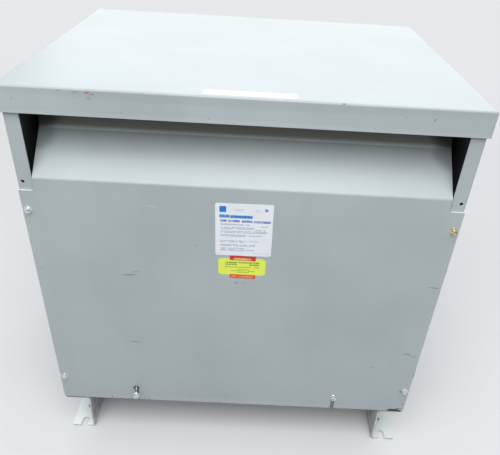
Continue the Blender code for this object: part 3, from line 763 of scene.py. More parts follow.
def make_outer_coil(node):
    """A coil: its wall's section carried round a rounded rectangle.

    Up the outside the inset is a wave for each turn, TURN_HEIGHT (1 - |sin(pi z / pitch)| to the
    TURN_POWER). The ends are rounded to a shoulder, and the bore is plain.
    """
    low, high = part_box(node)
    half = ((high.x - low.x) / 2, (high.y - low.y) / 2)
    tall = high.z - low.z
    rise = np.linspace(COIL_SHOULDER, tall - COIL_SHOULDER, int(tall / TURN_PITCH) * 8)
    wave = TURN_HEIGHT * (1.0 - np.abs(np.sin(math.pi * (rise - COIL_SHOULDER) / TURN_PITCH)) ** TURN_POWER)
    turn = np.linspace(0.0, math.pi / 2, 5)
    closing = COIL_SHOULDER * (1 - np.sin(turn))
    opening = COIL_SHOULDER * (1 - np.cos(turn))
    inset = np.concatenate([closing, wave, opening, [COIL_WALL, COIL_WALL, COIL_SHOULDER]])[:, None]
    level = np.concatenate([opening, rise, tall - closing, [tall, 0.0, 0.0]])[:, None]
    stations = ring_stations(*[spread(-size, size, COIL_SPACING) for size in half], 8)
    flat = ring_points(stations, half, inset, COIL_CORNER)
    grid = points_at(flat[..., 0] + (low.x + high.x) / 2, flat[..., 1] + (low.y + high.y) / 2, low.z + level)
    coil = add_piece(grid_mesh(node + "_coil", (grid, True, False)), wrap, COIL_SMOOTH)
    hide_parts(node)


for place in PLACES:
    make_outer_coil("outer_winding_" + place)


# Coil rests and terminal boards
#
# Bars and boards sawn from red-brown glass polyester sheet. The coils bear on the rests, and the boards
# are screwed to the upper clamps and carry the terminals.
def board_finish():
    """Glass polyester board: red-brown with paler fibres that lie every way, and saw-cut dust."""
    made, shader, place = new_finish("glass_polyester", 0.55, coat=0.08)
    fibres = noise(place * (1.0, 1.0, 3.0), 240.0, 4.0)
    both = (fibres + noise(place * (3.0, 1.0, 1.0), 240.0, 4.0)) * 0.5
    shade = mixed(ramp(both, 0.35, 0.7), (0.23, 0.062, 0.03, 1), (0.43, 0.16, 0.085, 1))
    set_inputs(shader, {"Base Color": dusted(place, shade, 0.7), "Normal": emboss(both, 0.5, 0.0001)})
    return made


repaint(board_finish(), "terminal_board_front", "terminal_board_rear",
        *[f"coil_rest_{level}_{end}" for level in ("lower", "upper") for end in ("front", "rear")])


# Terminals
#
# Flat tin-plated aluminium bars rise from the outer coils. One hex bolt through each holds it to its
# board, and the hole above is free for a cable lug.
TERMINAL_BOLT_FLAT = 0.0056
TERMINAL_BOLT_HEAD = 0.0052
TERMINAL_BOLT_WASHER = 0.0095
TERMINALS = [f"{kind}_terminal_{place}" for kind in ("line", "load") for place in PLACES]
TERMINALS.append("neutral_terminal")


def tin_finish():
    """Tin plate: brushed along the bar, dull grey, a little stained."""
    made, shader, place = new_finish("tin_plate", 0.34, metallic=1.0)
    brushed = noise(place * (1.0, 1.0, 0.02), 1600.0, 2.0)
    stain = ramp(noise(place, 60.0, 4.0), 0.45, 0.75)
    shade = mixed(brushed, (0.55, 0.55, 0.54, 1), (0.70, 0.70, 0.69, 1))
    set_inputs(shader, {"Base Color": mixed(stain * 0.5, shade, (0.36, 0.34, 0.31, 1)),
                        "Roughness": stain * 0.2 + 0.28, "Normal": emboss(brushed, 0.3, 0.00005)})
    return made


repaint(tin_finish(), *TERMINALS)
terminal_heads = []
for node in TERMINALS:
    low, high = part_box(node)
    end = -1 if low.y < 0 else 1
    board_low, board_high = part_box("terminal_board_front" if end < 0 else "terminal_board_rear")
    spot = ((low.x + high.x) / 2, low.y if end < 0 else high.y, (board_low.z + board_high.z) / 2)
    head = head_grid(TERMINAL_BOLT_FLAT, TERMINAL_BOLT_WASHER, TERMINAL_BOLT_HEAD)
    terminal_heads.append(facing(head, spot, end, low.x * 7.0))
add_fasteners("terminal_bolts", terminal_heads, plated)


# Case sides
#
# Each side is one sheet of 14 gauge steel with its four edges folded in. The front and rear folds are the
# straps beside the air outlets: the covers are screwed to them, and each has a spare hole near the top.
SHEET = 0.0019
SHEET_BEND = 0.0041          # outside radius of the tight folds
CASE_CORNER = 0.0030
SIDE_FLANGE = 0.024
SIDE_BOW = 0.0005
SIDE_SPACING = 0.02          # of the grid lines across the sheet
BOW_START = 0.02             # a flat's bow comes in over this distance from its edge
FLANGE_CUT_REACH = 0.008
SCREW_X = 0.345
SCREW_HEIGHTS = (0.157, 0.545)
SCREW_HOLE_RADIUS = 0.0035
SPARE_HOLE_HEIGHT = 0.594
SPARE_HOLE_RADIUS = 0.0028
CASE_GREY = (0.435, 0.495, 0.512, 1.0)
FOLD_FACE = -0.2786          # just in front of the front folds
FOLD_DIRT_AND_SHADE_HEIGHT = 0.0960


def pan_mesh(name, half, depth, bend, spacing, bow, to_space, hole_line, holes=()):
    """A sheet with its four edges folded down: a bent section carried round a rectangle and on to its middle.

    The section is (inset, level): up the flange, over the fold, and in across the flat, where the rings
    close on the rectangle's middle line. bow(u, v) is how far the flat lies below its plane. Holes, (place
    along u, radius), are on the flange's hole line in the two folds that face along v.
    """
    lines_u = spread(-half[0], half[0], spacing, *[hole_lines(*hole) for hole in holes])
    stations = ring_stations(lines_u, spread(-half[1], half[1], spacing))
    out, ahead, along, turn = stations
    in_fold = (np.abs(out[:, 1]) > 0.5) & (turn == 0.0)
    widths = np.where(in_fold, sum(round_width(along * ahead[:, 0], *hole) for hole in holes), 0.0)
    lines, points = bent_profile([(0.0, -depth), (0.0, 0.0), (min(half), 0.0)], (bend,), 0.014, 6,
                                 extra=[[hole_line]])
    rows = np.sort(np.append(lines, hole_line))
    across = open_cuts(rows, [(hole_line, widths)], FLANGE_CUT_REACH)
    inset = np.interp(across, lines, points[:, 0])
    u, v = np.moveaxis(ring_points(stations, half, inset, CASE_CORNER), -1, 0)
    level = np.interp(across, lines, points[:, 1]) - np.clip(inset / BOW_START, 0.0, 1.0) ** 2 * bow(u, v)
    return grid_mesh(name, (to_space(u, v, level), (np.diff(rows) > MERGE)[:, None], False))


def make_side(node, side):
    """One case side, its outside towards side, with its flange holes on the front and rear folds.

    u runs down on the right side and up on the left, so that the flat faces outwards on both.
    """
    low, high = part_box(node)
    middle = (low.z + high.z) / 2
    half = ((high.z - low.z) / 2, high.y)
    face = max(abs(low.x), abs(high.x))
    holes = [(side * (middle - height), SCREW_HOLE_RADIUS) for height in SCREW_HEIGHTS]
    holes.append((side * (middle - SPARE_HOLE_HEIGHT), SPARE_HOLE_RADIUS))

    def bow(u, v):
        """The flat is drawn in a little in the middle, with a slow uneven ripple."""
        window = (1 - (u / half[0]) ** 2) * (1 - (v / half[1]) ** 2)
        return SIDE_BOW * window * (1.0 + 0.5 * np.sin(9.0 * u + side) * np.cos(11.0 * v))

    return pan_mesh(node + "_sheet", half, SIDE_FLANGE, SHEET_BEND, SIDE_SPACING, bow,
                    lambda u, v, level: points_at(side * (face + level), v, middle - side * u),
                    SIDE_FLANGE - (face - SCREW_X), holes)


# the front folds' lower ends are black, dirt and painted shadow of the gap behind the cover, which shows
# where the front cover is bent up
fold_dirt_and_shade = [((x, FOLD_FACE, FOLD_DIRT_AND_SHADE_HEIGHT), (0.024, 0.0035, 0.0070), 0.0, SOOT_AND_SHADE, 0.95, 0.2, 0.0)
             for x in (-SCREW_X, SCREW_X)]
for place, side in SIDES:
    node = "side_panel_" + place
    paint = painted_steel("side_paint_" + place, node, CASE_GREY, 0.3, 0.2, 0.25, fold_dirt_and_shade)
    dress(node, make_side(node, side), paint, SHEET)


# Covers
#
# Front and rear covers are single sheets, screwed on. Above the notched corners the sheet leans in and
# then turns steeply up behind the lid's skirt, which leaves the air outlet. Two keyhole slots at the
# bottom drop over the base bolts. A knock has lifted the front cover's bottom edge near its right corner.
COVER_BEND_HEIGHT = 0.602
EAR_TOP = 0.580
SLOPE_HALF_WIDTH = 0.329
SLOPE_DEPTH = 0.061
SLOPE_RISE = 0.059
LIP_DEPTH = 0.0135
LIP_RISE = 0.030
COVER_RADII = (0.0059, 0.0040)   # outer face, at the first and the second bend
BASE_BOLT_X = 0.2025
BASE_BOLT_HEIGHT = 0.130
BASE_SLOT_HALF = 0.0036
BASE_KEYHOLE_RADIUS = 0.0065
COVER_CUT_REACH = 0.0085
COVER_BOW = 0.0007
DENT_X = 0.3355
DENT_HALF = 0.017
DENT_HEIGHT = 0.0045
DENT_CURL = 0.0012
DENT_FADE = 0.016            # the bent stretch goes this far up the sheet

cover_low, cover_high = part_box("front_panel")
FRONT = cover_low.y
BOTTOM = cover_low.z


def cover_bow(x, z):
    """How far the front sheet lies behind its plane: drawn in between its edges, with a slow ripple."""
    across = np.clip(1.0 - (x / cover_high.x) ** 2, 0.0, 1.0)
    up = np.clip((z - BOTTOM) / (COVER_BEND_HEIGHT - BOTTOM), 0.0, 1.0)
    ripple = 1.0 + 0.45 * np.sin(13.0 * x + 0.6) * np.sin(9.0 * z) + 0.2 * np.sin(31.0 * x - 14.0 * z)
    return COVER_BOW * across * np.sin(math.pi * up) * ripple


def make_cover(name, end):
    """One cover: the folded section carried across X, opened at the keyholes and the screw holes.

    Rows follow the section and columns go across. The front one's dent lifts the bottom rows by an arc
    and curls them outwards, fading up the sheet.
    """
    slope_end = (FRONT + SLOPE_DEPTH, COVER_BEND_HEIGHT + SLOPE_RISE)
    bends = [(FRONT, BOTTOM), (FRONT, COVER_BEND_HEIGHT), slope_end,
             (slope_end[0] + LIP_DEPTH, slope_end[1] + LIP_RISE)]
    key = BASE_BOLT_HEIGHT - BOTTOM
    heights = [height - BOTTOM for height in SCREW_HEIGHTS]
    rows = [hole_lines(key, BASE_KEYHOLE_RADIUS), [EAR_TOP - BOTTOM], np.linspace(0.0, DENT_FADE, 6),
            *[hole_lines(height, SCREW_HOLE_RADIUS) for height in heights]]
    along, section = bent_profile(bends, COVER_RADII, 0.016, 10, extra=rows)
    centres = np.array([-SCREW_X, -BASE_BOLT_X, BASE_BOLT_X, SCREW_X])
    beside = (centres[:, None] + np.array([-0.008, -0.004, 0.0, 0.004, 0.008])).reshape(-1)
    lines = spread(-cover_high.x, cover_high.x, 0.014, beside, [-SLOPE_HALF_WIDTH, SLOPE_HALF_WIDTH],
                   DENT_X + DENT_HALF * np.linspace(-1.0, 1.0, 11))
    lines = np.sort(np.concatenate([lines, centres]))
    slot = np.where(along < key, BASE_SLOT_HALF, 0.0)
    keyhole = np.maximum(slot, round_width(along, key, BASE_KEYHOLE_RADIUS))
    screws = sum(round_width(along, height, SCREW_HOLE_RADIUS) for height in heights)
    x = open_cuts(lines, list(zip(centres, (screws, keyhole, keyhole, screws))), COVER_CUT_REACH).T
    y, z = section.T[:, :, None]
    on_face = (along < COVER_BEND_HEIGHT - BOTTOM - COVER_RADII[0])[:, None]
    y = y + np.where(on_face, cover_bow(end * -x, z), 0.0)
    if end < 0:
        arch = np.clip(1.0 - ((x - DENT_X) / DENT_HALF) ** 4, 0.0, None)
        fade = np.clip(1.0 - (z - BOTTOM) / DENT_FADE, 0.0, 1.0)
        y = y - DENT_CURL * np.sin(math.pi * (x - DENT_X) / DENT_HALF) * (arch > 0) * fade ** 2
        z = z + DENT_HEIGHT * arch * fade
    middle = np.abs((lines[:-1] + lines[1:]) / 2)
    notch = (middle > SLOPE_HALF_WIDTH)[None, :] & (along[:-1] > EAR_TOP - BOTTOM - MERGE)[:, None]
    keep = ~notch & (np.diff(lines) > MERGE)[None, :]
    return grid_mesh(name, (points_at(-end * x, -end * y, z), keep, False))


DARK = (0.10, 0.105, 0.10, 1.0)
GREY = (0.22, 0.235, 0.235, 1.0)
PALE = (0.62, 0.64, 0.62, 1.0)
LIP_SHADE = (0.16, 0.16, 0.12, 1.0)   # painted shade in the gap below the skirt, tinted brown with dust
BEND_HIGHLIGHT = (0.34, 0.37, 0.36, 1.0)   # painted highlight along the second bend
# painted highlight on the ears' top edges
EDGE_HIGHLIGHT = (0.86, 0.90, 0.91, 1.0)


def wear_and_light_mark(plane, x, z, half_length, half_height, colour, strength, turn=0.0, ragged=0.9, breaks=0.8,
          behind=0.0, reach=30.0):
    """A mark on a face that looks to the front, in millimetres and degrees: scuffs, and painted shade and
    highlights alike.

    It lies so far behind a plane, and reaches so far before and behind, which shows it on one face alone.
    """
    half = (half_length * 0.001, reach * 0.001, half_height * 0.001)
    return ((x * 0.001, plane + behind * 0.001, z * 0.001), half, math.radians(turn), colour, strength,
            ragged, breaks)


front_marks = [wear_and_light_mark(FRONT, *row) for row in (
    (-192, 421.5, 15, 2.4, DARK, 0.9, -3), (-182, 428.5, 8.5, 1.3, DARK, 0.8, -8),
    (-194, 261, 11.5, 2, DARK, 0.8), (-146, 562, 15, 2.2, PALE, 0.6, 8),
    (-344.5, 429, 5, 0.8, DARK, 0.8, 12), (-322, 184, 1, 5.5, GREY, 0.35, 8),
    (-316.5, 160, 0.9, 5, DARK, 0.35, 5), (-85, 129.4, 4, 1, GREY, 0.5, 0, 0.9, 0.2),
    (-34.5, 132.9, 2.2, 1.8, GREY, 0.3, 0, 0.9, 0.2), (-77, 490, 1.8, 1.2, DARK, 0.6, 0, 0.9, 0),
    (-24, 414.1, 3.2, 1.6, GREY, 0.7), (-6, 415.2, 5, 2, DARK, 0.8), (8, 415.4, 4, 1.6, GREY, 0.7),
    (341, 426, 12, 1.8, DARK, 0.9, 4), (328, 262, 8.5, 2.4, DARK, 0.9, 3),
    (340, 256.5, 12, 2, GREY, 0.7, 20), (129, 347, 24, 1.4, GREY, 0.22), (267, 221.5, 8, 3.6, GREY, 0.5),
    (285, 220, 12, 1.2, GREY, 0.35), (-255.5, 99, 1.4, 4.6, DARK, 1, 18, 0.6, 0),
    (-246.5, 96.5, 1, 1.6, DARK, 0.7, 0, 0.8, 0), (-250, 98, 2.2, 1.2, PALE, 0.7, 0, 0.8, 0),
    (-235.5, 95.6, 6.2, 1.4, DARK, 1, 0, 1, 0.4), (-190.5, 95.8, 8, 1.5, DARK, 1, 0, 1, 0.5),
    (-179, 97.5, 4.8, 1.4, DARK, 0.9, 4, 1, 0.2), (-31.3, 96.5, 1.8, 2.6, DARK, 0.9, 0, 0.8, 0),
    (78.5, 96.2, 8.5, 1.2, DARK, 0.7, 0, 1, 0.5), (349, 117.2, 2, 1.8, SOOT_AND_SHADE, 1, 0, 0.3, 0),
    # on the next row, painted shadow: black along the dent's lifted edge, and beside the lower right screw
    (345.8, 103.5, 6.6, 1.3, SOOT_AND_SHADE, 0.85, -23, 0.4, 0), (336.8, 154.8, 2.6, 3.8, SOOT_AND_SHADE, 0.7, 0, 0.5, 0),
    (-49, 574.5, 5, 0.5, DARK, 0.45, 0, 0.9, 0.3), (-48, 471.5, 5.5, 0.5, DARK, 0.45, 0, 0.9, 0.3),
    # the wide band at 100 mm on the next row is painted light: the cover's lowest band made lighter
    (54, 471.5, 5, 0.6, DARK, 0.5, 0, 0.9, 0.3), (-30, 100, 360, 11, PALE, 0.16, 0, 0.2, 0),
    # painted shade on the lip below the skirt
    (0, 676.5, 900, 16.3, LIP_SHADE, 0.78, 0, 0.12, 0, 68, 400),
    # painted highlight along the second bend
    (0, 660.8, 315, 1.2, BEND_HIGHLIGHT, 0.6, 0, 0.1, 0, 61.2, 20),
)]
# painted shade at both ends of the outlet, on the lip and over the slope's upper corners, and a painted
# highlight on the ears' top edges
front_marks += [wear_and_light_mark(FRONT, *row) for side in (-1, 1) for row in (
    (side * 335, 680, 50, 24, SOOT_AND_SHADE, 0.85, 0, 0.15, 0, 68),
    (side * 334, 656, 42, 30, DARK, 0.42, 0, 0.2, 0, 54, 60),
    (side * 344, 580.4, 16, 1.4, EDGE_HIGHLIGHT, 0.9, 0, 0.1, 0),
)]

for node, end, marks in (("front_panel", -1, front_marks), ("rear_panel", 1, ())):
    name = node.replace("panel", "cover")
    paint = painted_steel(name + "_paint", node, CASE_GREY, 0.2, 0.15, 0.1, marks)
    dress(node, make_cover(name + "_sheet", end), paint, SHEET)


# Cover screws and base bolts
#
# Eight slotted hex washer screws of zinc-plated steel hold the covers to the case sides, and four larger
# ones hold them to the base rails. At the front left the base bolt has been backed out of its keyhole.
SCREW_SIZES = (0.0048, 0.00665, 0.0052)      # half across flats, washer's radius, height of the head
BASE_SIZES = (0.0052, 0.0067, 0.0058)
SHANK_RADIUS = 0.0031
SHANK_LENGTH = 0.0120        # behind the sheet's face
THREAD_PITCH = 0.00127
THREAD_DEPTH = 0.00045
BACKED_OUT = 0.0184          # gap between the loose bolt's washer and the cover
LOOSE_LEAN = math.radians(9.5)
SEATED_LOW = 0.0005          # the tight bolt at the front right sits this far down its slot
SCREW_SLOT = (0.0008, 0.0020)                # half width and depth


def thread_grid(low, high):
    """A bolt's shank: radius minus depth times a triangle wave of (level / pitch - angle / full turn)."""
    level = spread(low, high, THREAD_PITCH / 8)[:, None]
    angle = np.linspace(0.0, 2 * math.pi, 33)[None, :]
    phase = np.mod(level / THREAD_PITCH - angle / (2 * math.pi), 1.0)
    radius = SHANK_RADIUS - THREAD_DEPTH * np.abs(2 * phase - 1.0)
    return points_at(radius * np.cos(angle), radius * np.sin(angle), level)


def screws(name, spots, sizes, material, out=0.0, lean=0.0):
    """A set of slotted hex washer screws: (place on the sheet, end, turn of the slot) each.

    Out is how far the head stands off the sheet, and lean how far the axis hangs over, in radians. A shank
    that shows has lost its shine.
    """
    grids = []
    for spot, end, turn in spots:
        head = head_grid(*sizes, *SCREW_SLOT) + (0.0, 0.0, out)
        grids.append(facing(head, spot, end, math.radians(turn), lean))
        shank = facing(thread_grid(-SHANK_LENGTH, out), spot, end, 0.0, lean)
        if out == 0.0:
            grids.append(shank)
        else:
            add_fasteners(name + "_shank", [shank], dull)
    add_fasteners(name, grids, material)


dull = zinc_finish("dull_zinc_plate", (0.20, 0.205, 0.205, 1), (0.09, 0.09, 0.085, 1), 0.16)
brassy = zinc_finish("yellow_zinc_plate", (0.66, 0.56, 0.38, 1), (0.33, 0.21, 0.12, 1), 0.16)
low_screw, high_screw = SCREW_HEIGHTS
spots = [((-SCREW_X, FRONT, high_screw), -1, 10.0), ((-SCREW_X, FRONT, low_screw), -1, 60.0),
         ((SCREW_X, FRONT, low_screw), -1, -12.0)]
spots += [((x, -FRONT, z), 1, 80.0 * x / SCREW_X + 200.0 * z)
          for x in (-SCREW_X, SCREW_X) for z in SCREW_HEIGHTS]
screws("cover_screws", spots, SCREW_SIZES, plated)
screws("cover_screw_upper_right", [((SCREW_X, FRONT, high_screw), -1, 30.0)], SCREW_SIZES, brassy)
screws("base_bolts", [((BASE_BOLT_X, FRONT, BASE_BOLT_HEIGHT - SEATED_LOW), -1, 4.0),
                      ((-BASE_BOLT_X, -FRONT, BASE_BOLT_HEIGHT), 1, 25.0),
                      ((BASE_BOLT_X, -FRONT, BASE_BOLT_HEIGHT), 1, -40.0)], BASE_SIZES, plated)
screws("base_bolt_backed_out", [((-BASE_BOLT_X, FRONT, BASE_BOLT_HEIGHT), -1, 70.0)], BASE_SIZES, plated,
       BACKED_OUT, LOOSE_LEAN)


# Lid
#
# A shallow tray of the same sheet, turned over the case, with welded corners. Sheet that size is never
# flat: the top sags a little and shows slow swells in the light.
LID_SAG = 0.0016
LID_SPACING = 0.018
LID_BEND = 0.0027            # outside radius: the skirt is folded over a sharper bar than the sides
CLOSED_LINE = 0.012          # hole line of a skirt that has no holes
RUST = (0.40, 0.185, 0.075, 1.0)
BROWN_STAIN = (0.20, 0.17, 0.13, 1.0)
TAN_STAIN = (0.50, 0.42, 0.24, 1.0)
OLIVE_STAIN = (0.25, 0.23, 0.13, 1.0)
GREEN_STAIN = (0.28, 0.32, 0.20, 1.0)
lid_low, lid_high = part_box("lid")
SKIRT = lid_low.y


def lid_bow(u, v):
    """How far the top lies below its plane: a shallow sag with slow swells."""
    window = (1 - (u / lid_high.x) ** 2) * (1 - (v / lid_high.y) ** 2)
    return LID_SAG * window * (1.0 + 0.35 * np.sin(10.0 * u + 1.0) * np.cos(8.0 * v)
                               + 0.15 * np.sin(23.0 * v - 9.0 * u))


lid_marks = [wear_and_light_mark(SKIRT, *row) for row in (
    (-225, 742.2, 4.5, 2.1, RUST, 0.85, -6, 1, 0), (-217, 740.3, 2.8, 1.4, BROWN_STAIN, 0.75, -12, 0.8, 0),
    (-220.7, 740.3, 3.2, 1, RUST, 0.45, -40, 0.8, 0), (-223.2, 736.8, 3.2, 3.6, TAN_STAIN, 0.5, 0, 1, 0),
    (-224.8, 734, 0.8, 3.6, OLIVE_STAIN, 0.7, -24, 0.5, 0),
    (-221.9, 734.2, 0.8, 4, OLIVE_STAIN, 0.7, 16, 0.5, 0),
    (-241.5, 742, 6.8, 1.6, GREEN_STAIN, 0.65, -16, 0.9, 0),
    (-236.2, 739.5, 2.2, 1, GREEN_STAIN, 0.55, -10, 0.8, 0), (-264.2, 744.1, 1.4, 1, DARK, 0.7, 0, 0.6, 0),
    (-332.3, 729.1, 2.2, 1.4, GREY, 0.5, 0, 0.8, 0), (-179.5, 715.4, 2.2, 1, GREY, 0.6, 10, 0.8, 0.2),
    (269, 730, 1.1, 4, DARK, 0.85, 25, 0.8, 0.2), (268, 722.2, 1, 3, GREY, 0.5, 15, 0.8, 0.5),
    (228, 732, 4, 1, GREY, 0.5, 30, 0.8, 0.5), (186.2, 712.8, 2, 1, DARK, 0.5, 0, 0.8, 0),
    # the two wide bands on these rows are painted light: shade along the top of the skirt, and a highlight
    # along its bottom edge
    (-54, 714, 3.5, 1.4, GREY, 0.5, 0, 0.8, 0.5), (0, 744, 500, 15, DARK, 0.1, 0, 0.1, 0, 0, 10),
    (0, 707.5, 500, 8, PALE, 0.2, 0, 0.1, 0, 0, 10), (136.3, 746, 3, 1.4, DARK, 0.8, 0, 0.8, 0.3, 0, 4),
    (-70.5, 747, 1.2, 4, DARK, 0.8, 0, 0.5, 0, 8.5, 1.2),
    (-66.5, 747, 0.8, 4, DARK, 0.6, 0, 0.5, 0, 8.7, 1),
    (-57.5, 747, 2.8, 4, DARK, 0.7, 0, 0.5, 0, 8.8, 0.8),
)]
lid_mesh = pan_mesh("lid_sheet", (lid_high.x, lid_high.y), lid_high.z - lid_low.z, LID_BEND, LID_SPACING,
                    lid_bow, lambda u, v, level: points_at(u, v, lid_high.z + level), CLOSED_LINE)
lid_paint = painted_steel("lid_paint", "lid", CASE_GREY, 0.1, 0.1, 0.0, lid_marks)
dress("lid", lid_mesh, lid_paint, SHEET)


# Labels and tape
#
# A white film label with rounded corners, a yellow film sticker with two orange-red bands, and a strip of
# white tape on the lid, each pressed on. Print is shown as plain bars, with no words.
FILM = 0.00012
FILM_LIFT = 0.00016          # a film's face stands this far off what it is pressed on
FILM_END = 0.0024            # width of the tinted ends
PRINT_SOFT = 0.0002
PRINT_BLUE = (0.004, 0.19, 0.70, 1.0)
PRINT_NAVY = (0.06, 0.14, 0.46, 1.0)
PRINT_GREY = (0.22, 0.30, 0.48, 1.0)


def on_cover(x, z, lift):
    """Places on the front cover's face."""
    return points_at(x, FRONT + cover_bow(x, z) - lift, z)


def on_lid(x, y, lift):
    """Places on the lid's top."""
    return points_at(x, y, lid_high.z - lid_bow(x, y) + lift)


def add_film(name, material, film, corner, surface=on_cover, lift=FILM_LIFT):
    """A thin film with rounded corners, (centre, size, tilt), laid on a surface.

    Rows go up the film and each row is as wide as the rounded outline there. The film is turned by its
    tilt, and surface(across, up) puts each point a lift off what it is pressed on.
    """
    centre, size, tilt = film
    half_wide, half_tall = size[0] / 2, size[1] / 2
    curve = corner * (1 - np.cos(np.linspace(0.0, math.pi / 2, 7)))
    v = spread(-half_tall, half_tall, 0.006, curve - half_tall, half_tall - curve)[:, None]
    into = np.clip(np.abs(v) - (half_tall - corner), 0.0, None)
    wide = half_wide - corner + np.sqrt(np.clip(corner ** 2 - into ** 2, 0.0, None))
    u = np.linspace(-1.0, 1.0, 15)[None, :] * wide
    lean = math.radians(tilt)
    across = centre[0] + u * math.cos(lean) - v * math.sin(lean)
    up = centre[1] + u * math.sin(lean) + v * math.cos(lean)
    made = add_piece(grid_mesh(name, (surface(across, up, lift), True, False)), material)
    give_wall(made, FILM, FILM / 4)


def between(value, low, high, soft):
    """1 while a value lies between two others, with soft edges."""
    return ramp(value, low - soft, low + soft) * ramp(value, high + soft, high - soft)


@shader_group("mask", across=0.0, down=0.0, left=0.0, right=0.07, middle=0.0, lines=1.0, pitch=0.002,
              words=140.0, grain=900.0, solid=0.25)
def print_row(across, down, left, right, middle, lines, pitch, words, grain, solid):
    """A few close lines of print, shown as broken bars: so many lines, a pitch apart, about the middle.

    Noise drawn out along the lines breaks them into words, and a finer one breaks those into marks.
    Solid is how strongly a bar shows between its marks.
    """
    level = (down - middle) / pitch
    line = lines * 0.5 + level
    off_line = calc("ABSOLUTE", calc("FRACT", line) - 0.5)
    in_row = ramp(off_line, 0.44, 0.28) * calc("COMPARE", level, 0.0, lines * 0.5)
    seed = calc("FLOOR", line) * 3.7 + middle * 997.0
    word = add_node("CombineXYZ", {0: across * words, 1: seed})
    fine = add_node("CombineXYZ", {0: across * grain, 1: line * 1.3 + seed})
    shown = ramp(noise(word, 1.0, 1.0), 0.35, 0.40) * ramp(noise(fine, 1.0, 1.0), 0.36, 0.58, solid, 1.0)
    return between(across, left, right, PRINT_SOFT) * in_row * shown


def film_finish(name, base, stain):
    """Plain film: (material, shader, place, its base colour with a little staining)."""
    made, shader, place = new_finish(name, 0.38, coat=0.15)
    cloud = ramp(noise(place, 40.0, 4.0), 0.45, 0.8, 0.0, stain)
    set_inputs(shader, {"Normal": emboss(noise(place, 120.0, 2.0), 0.4, 0.0001)})
    return made, shader, place, mixed(cloud, base, (0.45, 0.44, 0.40, 1.0))


def printed_film(name, base, stain, film, prints, edge_tint=None):
    """Film with print: (material, shader, distances across and down from its upper left corner, colour).

    A print is (rows, words, grain, solid, ink, strength), and a row (left, right, middle, lines, pitch),
    in millimetres. The film's ends may have a tint of their own.
    """
    made, shader, place, shade = film_finish(name, base, stain)
    centre, size, tilt = film
    turned = add_node("Mapping", {"Vector": place,
                                  "Location": (centre[0] - size[0] / 2, 0.0, centre[1] + size[1] / 2),
                                  "Rotation": (0.0, -math.radians(tilt), 0.0)}, vector_type="TEXTURE")
    across = part(turned, 0)
    down = part(turned, 2) * -1.0
    if edge_tint:
        ends = calc("MAXIMUM", ramp(across, FILM_END, 0.0), ramp(across, size[0] - FILM_END, size[0]))
        shade = mixed(ends * 0.7, shade, edge_tint)
    for rows, words, grain, solid, ink, strength in prints:
        shown = None
        for left, right, middle, lines, pitch in rows:
            row = print_row(across, down, left * 0.001, right * 0.001, middle * 0.001, lines, pitch * 0.001,
                            words, grain, solid)
            shown = calc("MAXIMUM", row, shown) if shown else row
        shade = mixed(shown * strength, shade, ink)
    return made, shader, across, down, shade


LABEL = ((0.0032, 0.5250), (0.0940, 0.1010), 0.65)   # centre, size, tilt in degrees
LABEL_WHITE = (0.88, 0.92, 0.965, 1.0)
SQUARE = ((0.0062, 0.0172), (0.0060, 0.0170))        # across and down the label
TITLE = (
    (6, 23, 24.5, 1, 8), (24, 60, 25, 1, 7.8),
)
HEADING = (
    (7.6, 18, 33, 1, 5.6), (20.5, 39.5, 33.2, 1, 5.6), (42.5, 60, 33.5, 1, 5.6), (62.5, 90, 33.8, 1, 5.6),
)
PARAGRAPHS = (
    (8, 56, 40, 1, 3), (8, 63, 46.8, 2, 2.4), (65.5, 82, 50, 1, 2.4), (74.5, 86, 42.8, 1, 2.4),
    (8, 85, 54.2, 2, 2.4), (8, 50, 61.4, 2, 2.4), (52, 81, 61, 1, 2.4), (8, 47, 73, 2, 2.4),
    (48, 71, 72.2, 1, 2.4), (8, 66, 80.7, 2, 2.4), (8, 48, 89.2, 3, 2.4), (50, 66, 90, 1, 2.6),
)
SMALL_PRINT = (
    (60, 89, 96.2, 1, 1.8), (29, 45, 12.8, 2, 2.4),
)
DISCS = (((0.0675, 0.0125), 0.0025, 0.35, PRINT_GREY), ((0.0675, 0.0125), 0.0014, 1.0, LABEL_WHITE),
         ((0.0820, 0.0115), 0.0027, 1.0, PRINT_BLUE), ((0.0820, 0.0115), 0.0010, 0.5, LABEL_WHITE))


def label_finish():
    """White label: a plain blue square over a bar, one bold row, two paragraphs, two discs."""
    made, shader, across, down, shade = printed_film("label_film", LABEL_WHITE, 0.12, LABEL, (
        (TITLE, 20.0, 420.0, 0.7, PRINT_BLUE, 1.0), (HEADING, 20.0, 600.0, 0.5, PRINT_NAVY, 1.0),
        (PARAGRAPHS, 160.0, 1100.0, 0.25, PRINT_GREY, 0.8),
        (SMALL_PRINT, 150.0, 1100.0, 0.25, PRINT_GREY, 0.5)))
    square = between(across, *SQUARE[0], 0.00025) * between(down, *SQUARE[1], 0.00025)
    shade = mixed(square, shade, PRINT_BLUE)
    for centre, radius, strength, tint in DISCS:
        out = add_node("CombineXYZ", {0: across - centre[0], 1: down - centre[1]})
        disc = ramp(vector_calc("LENGTH", out, output="Value"), radius + 0.0004, radius - 0.0004)
        shade = mixed(disc * strength, shade, tint)
    set_inputs(shader, {"Base Color": shade})
    return made


def sticker_finish(name, base, film, prints, edge_tint):
    """A sticker of one colour with darker ends and prints."""
    made, shader, across, down, shade = printed_film(name, base, 0.06, film, prints, edge_tint)
    set_inputs(shader, {"Base Color": shade})
    return made


add_film("white_label", label_finish(), LABEL, 0.0035)

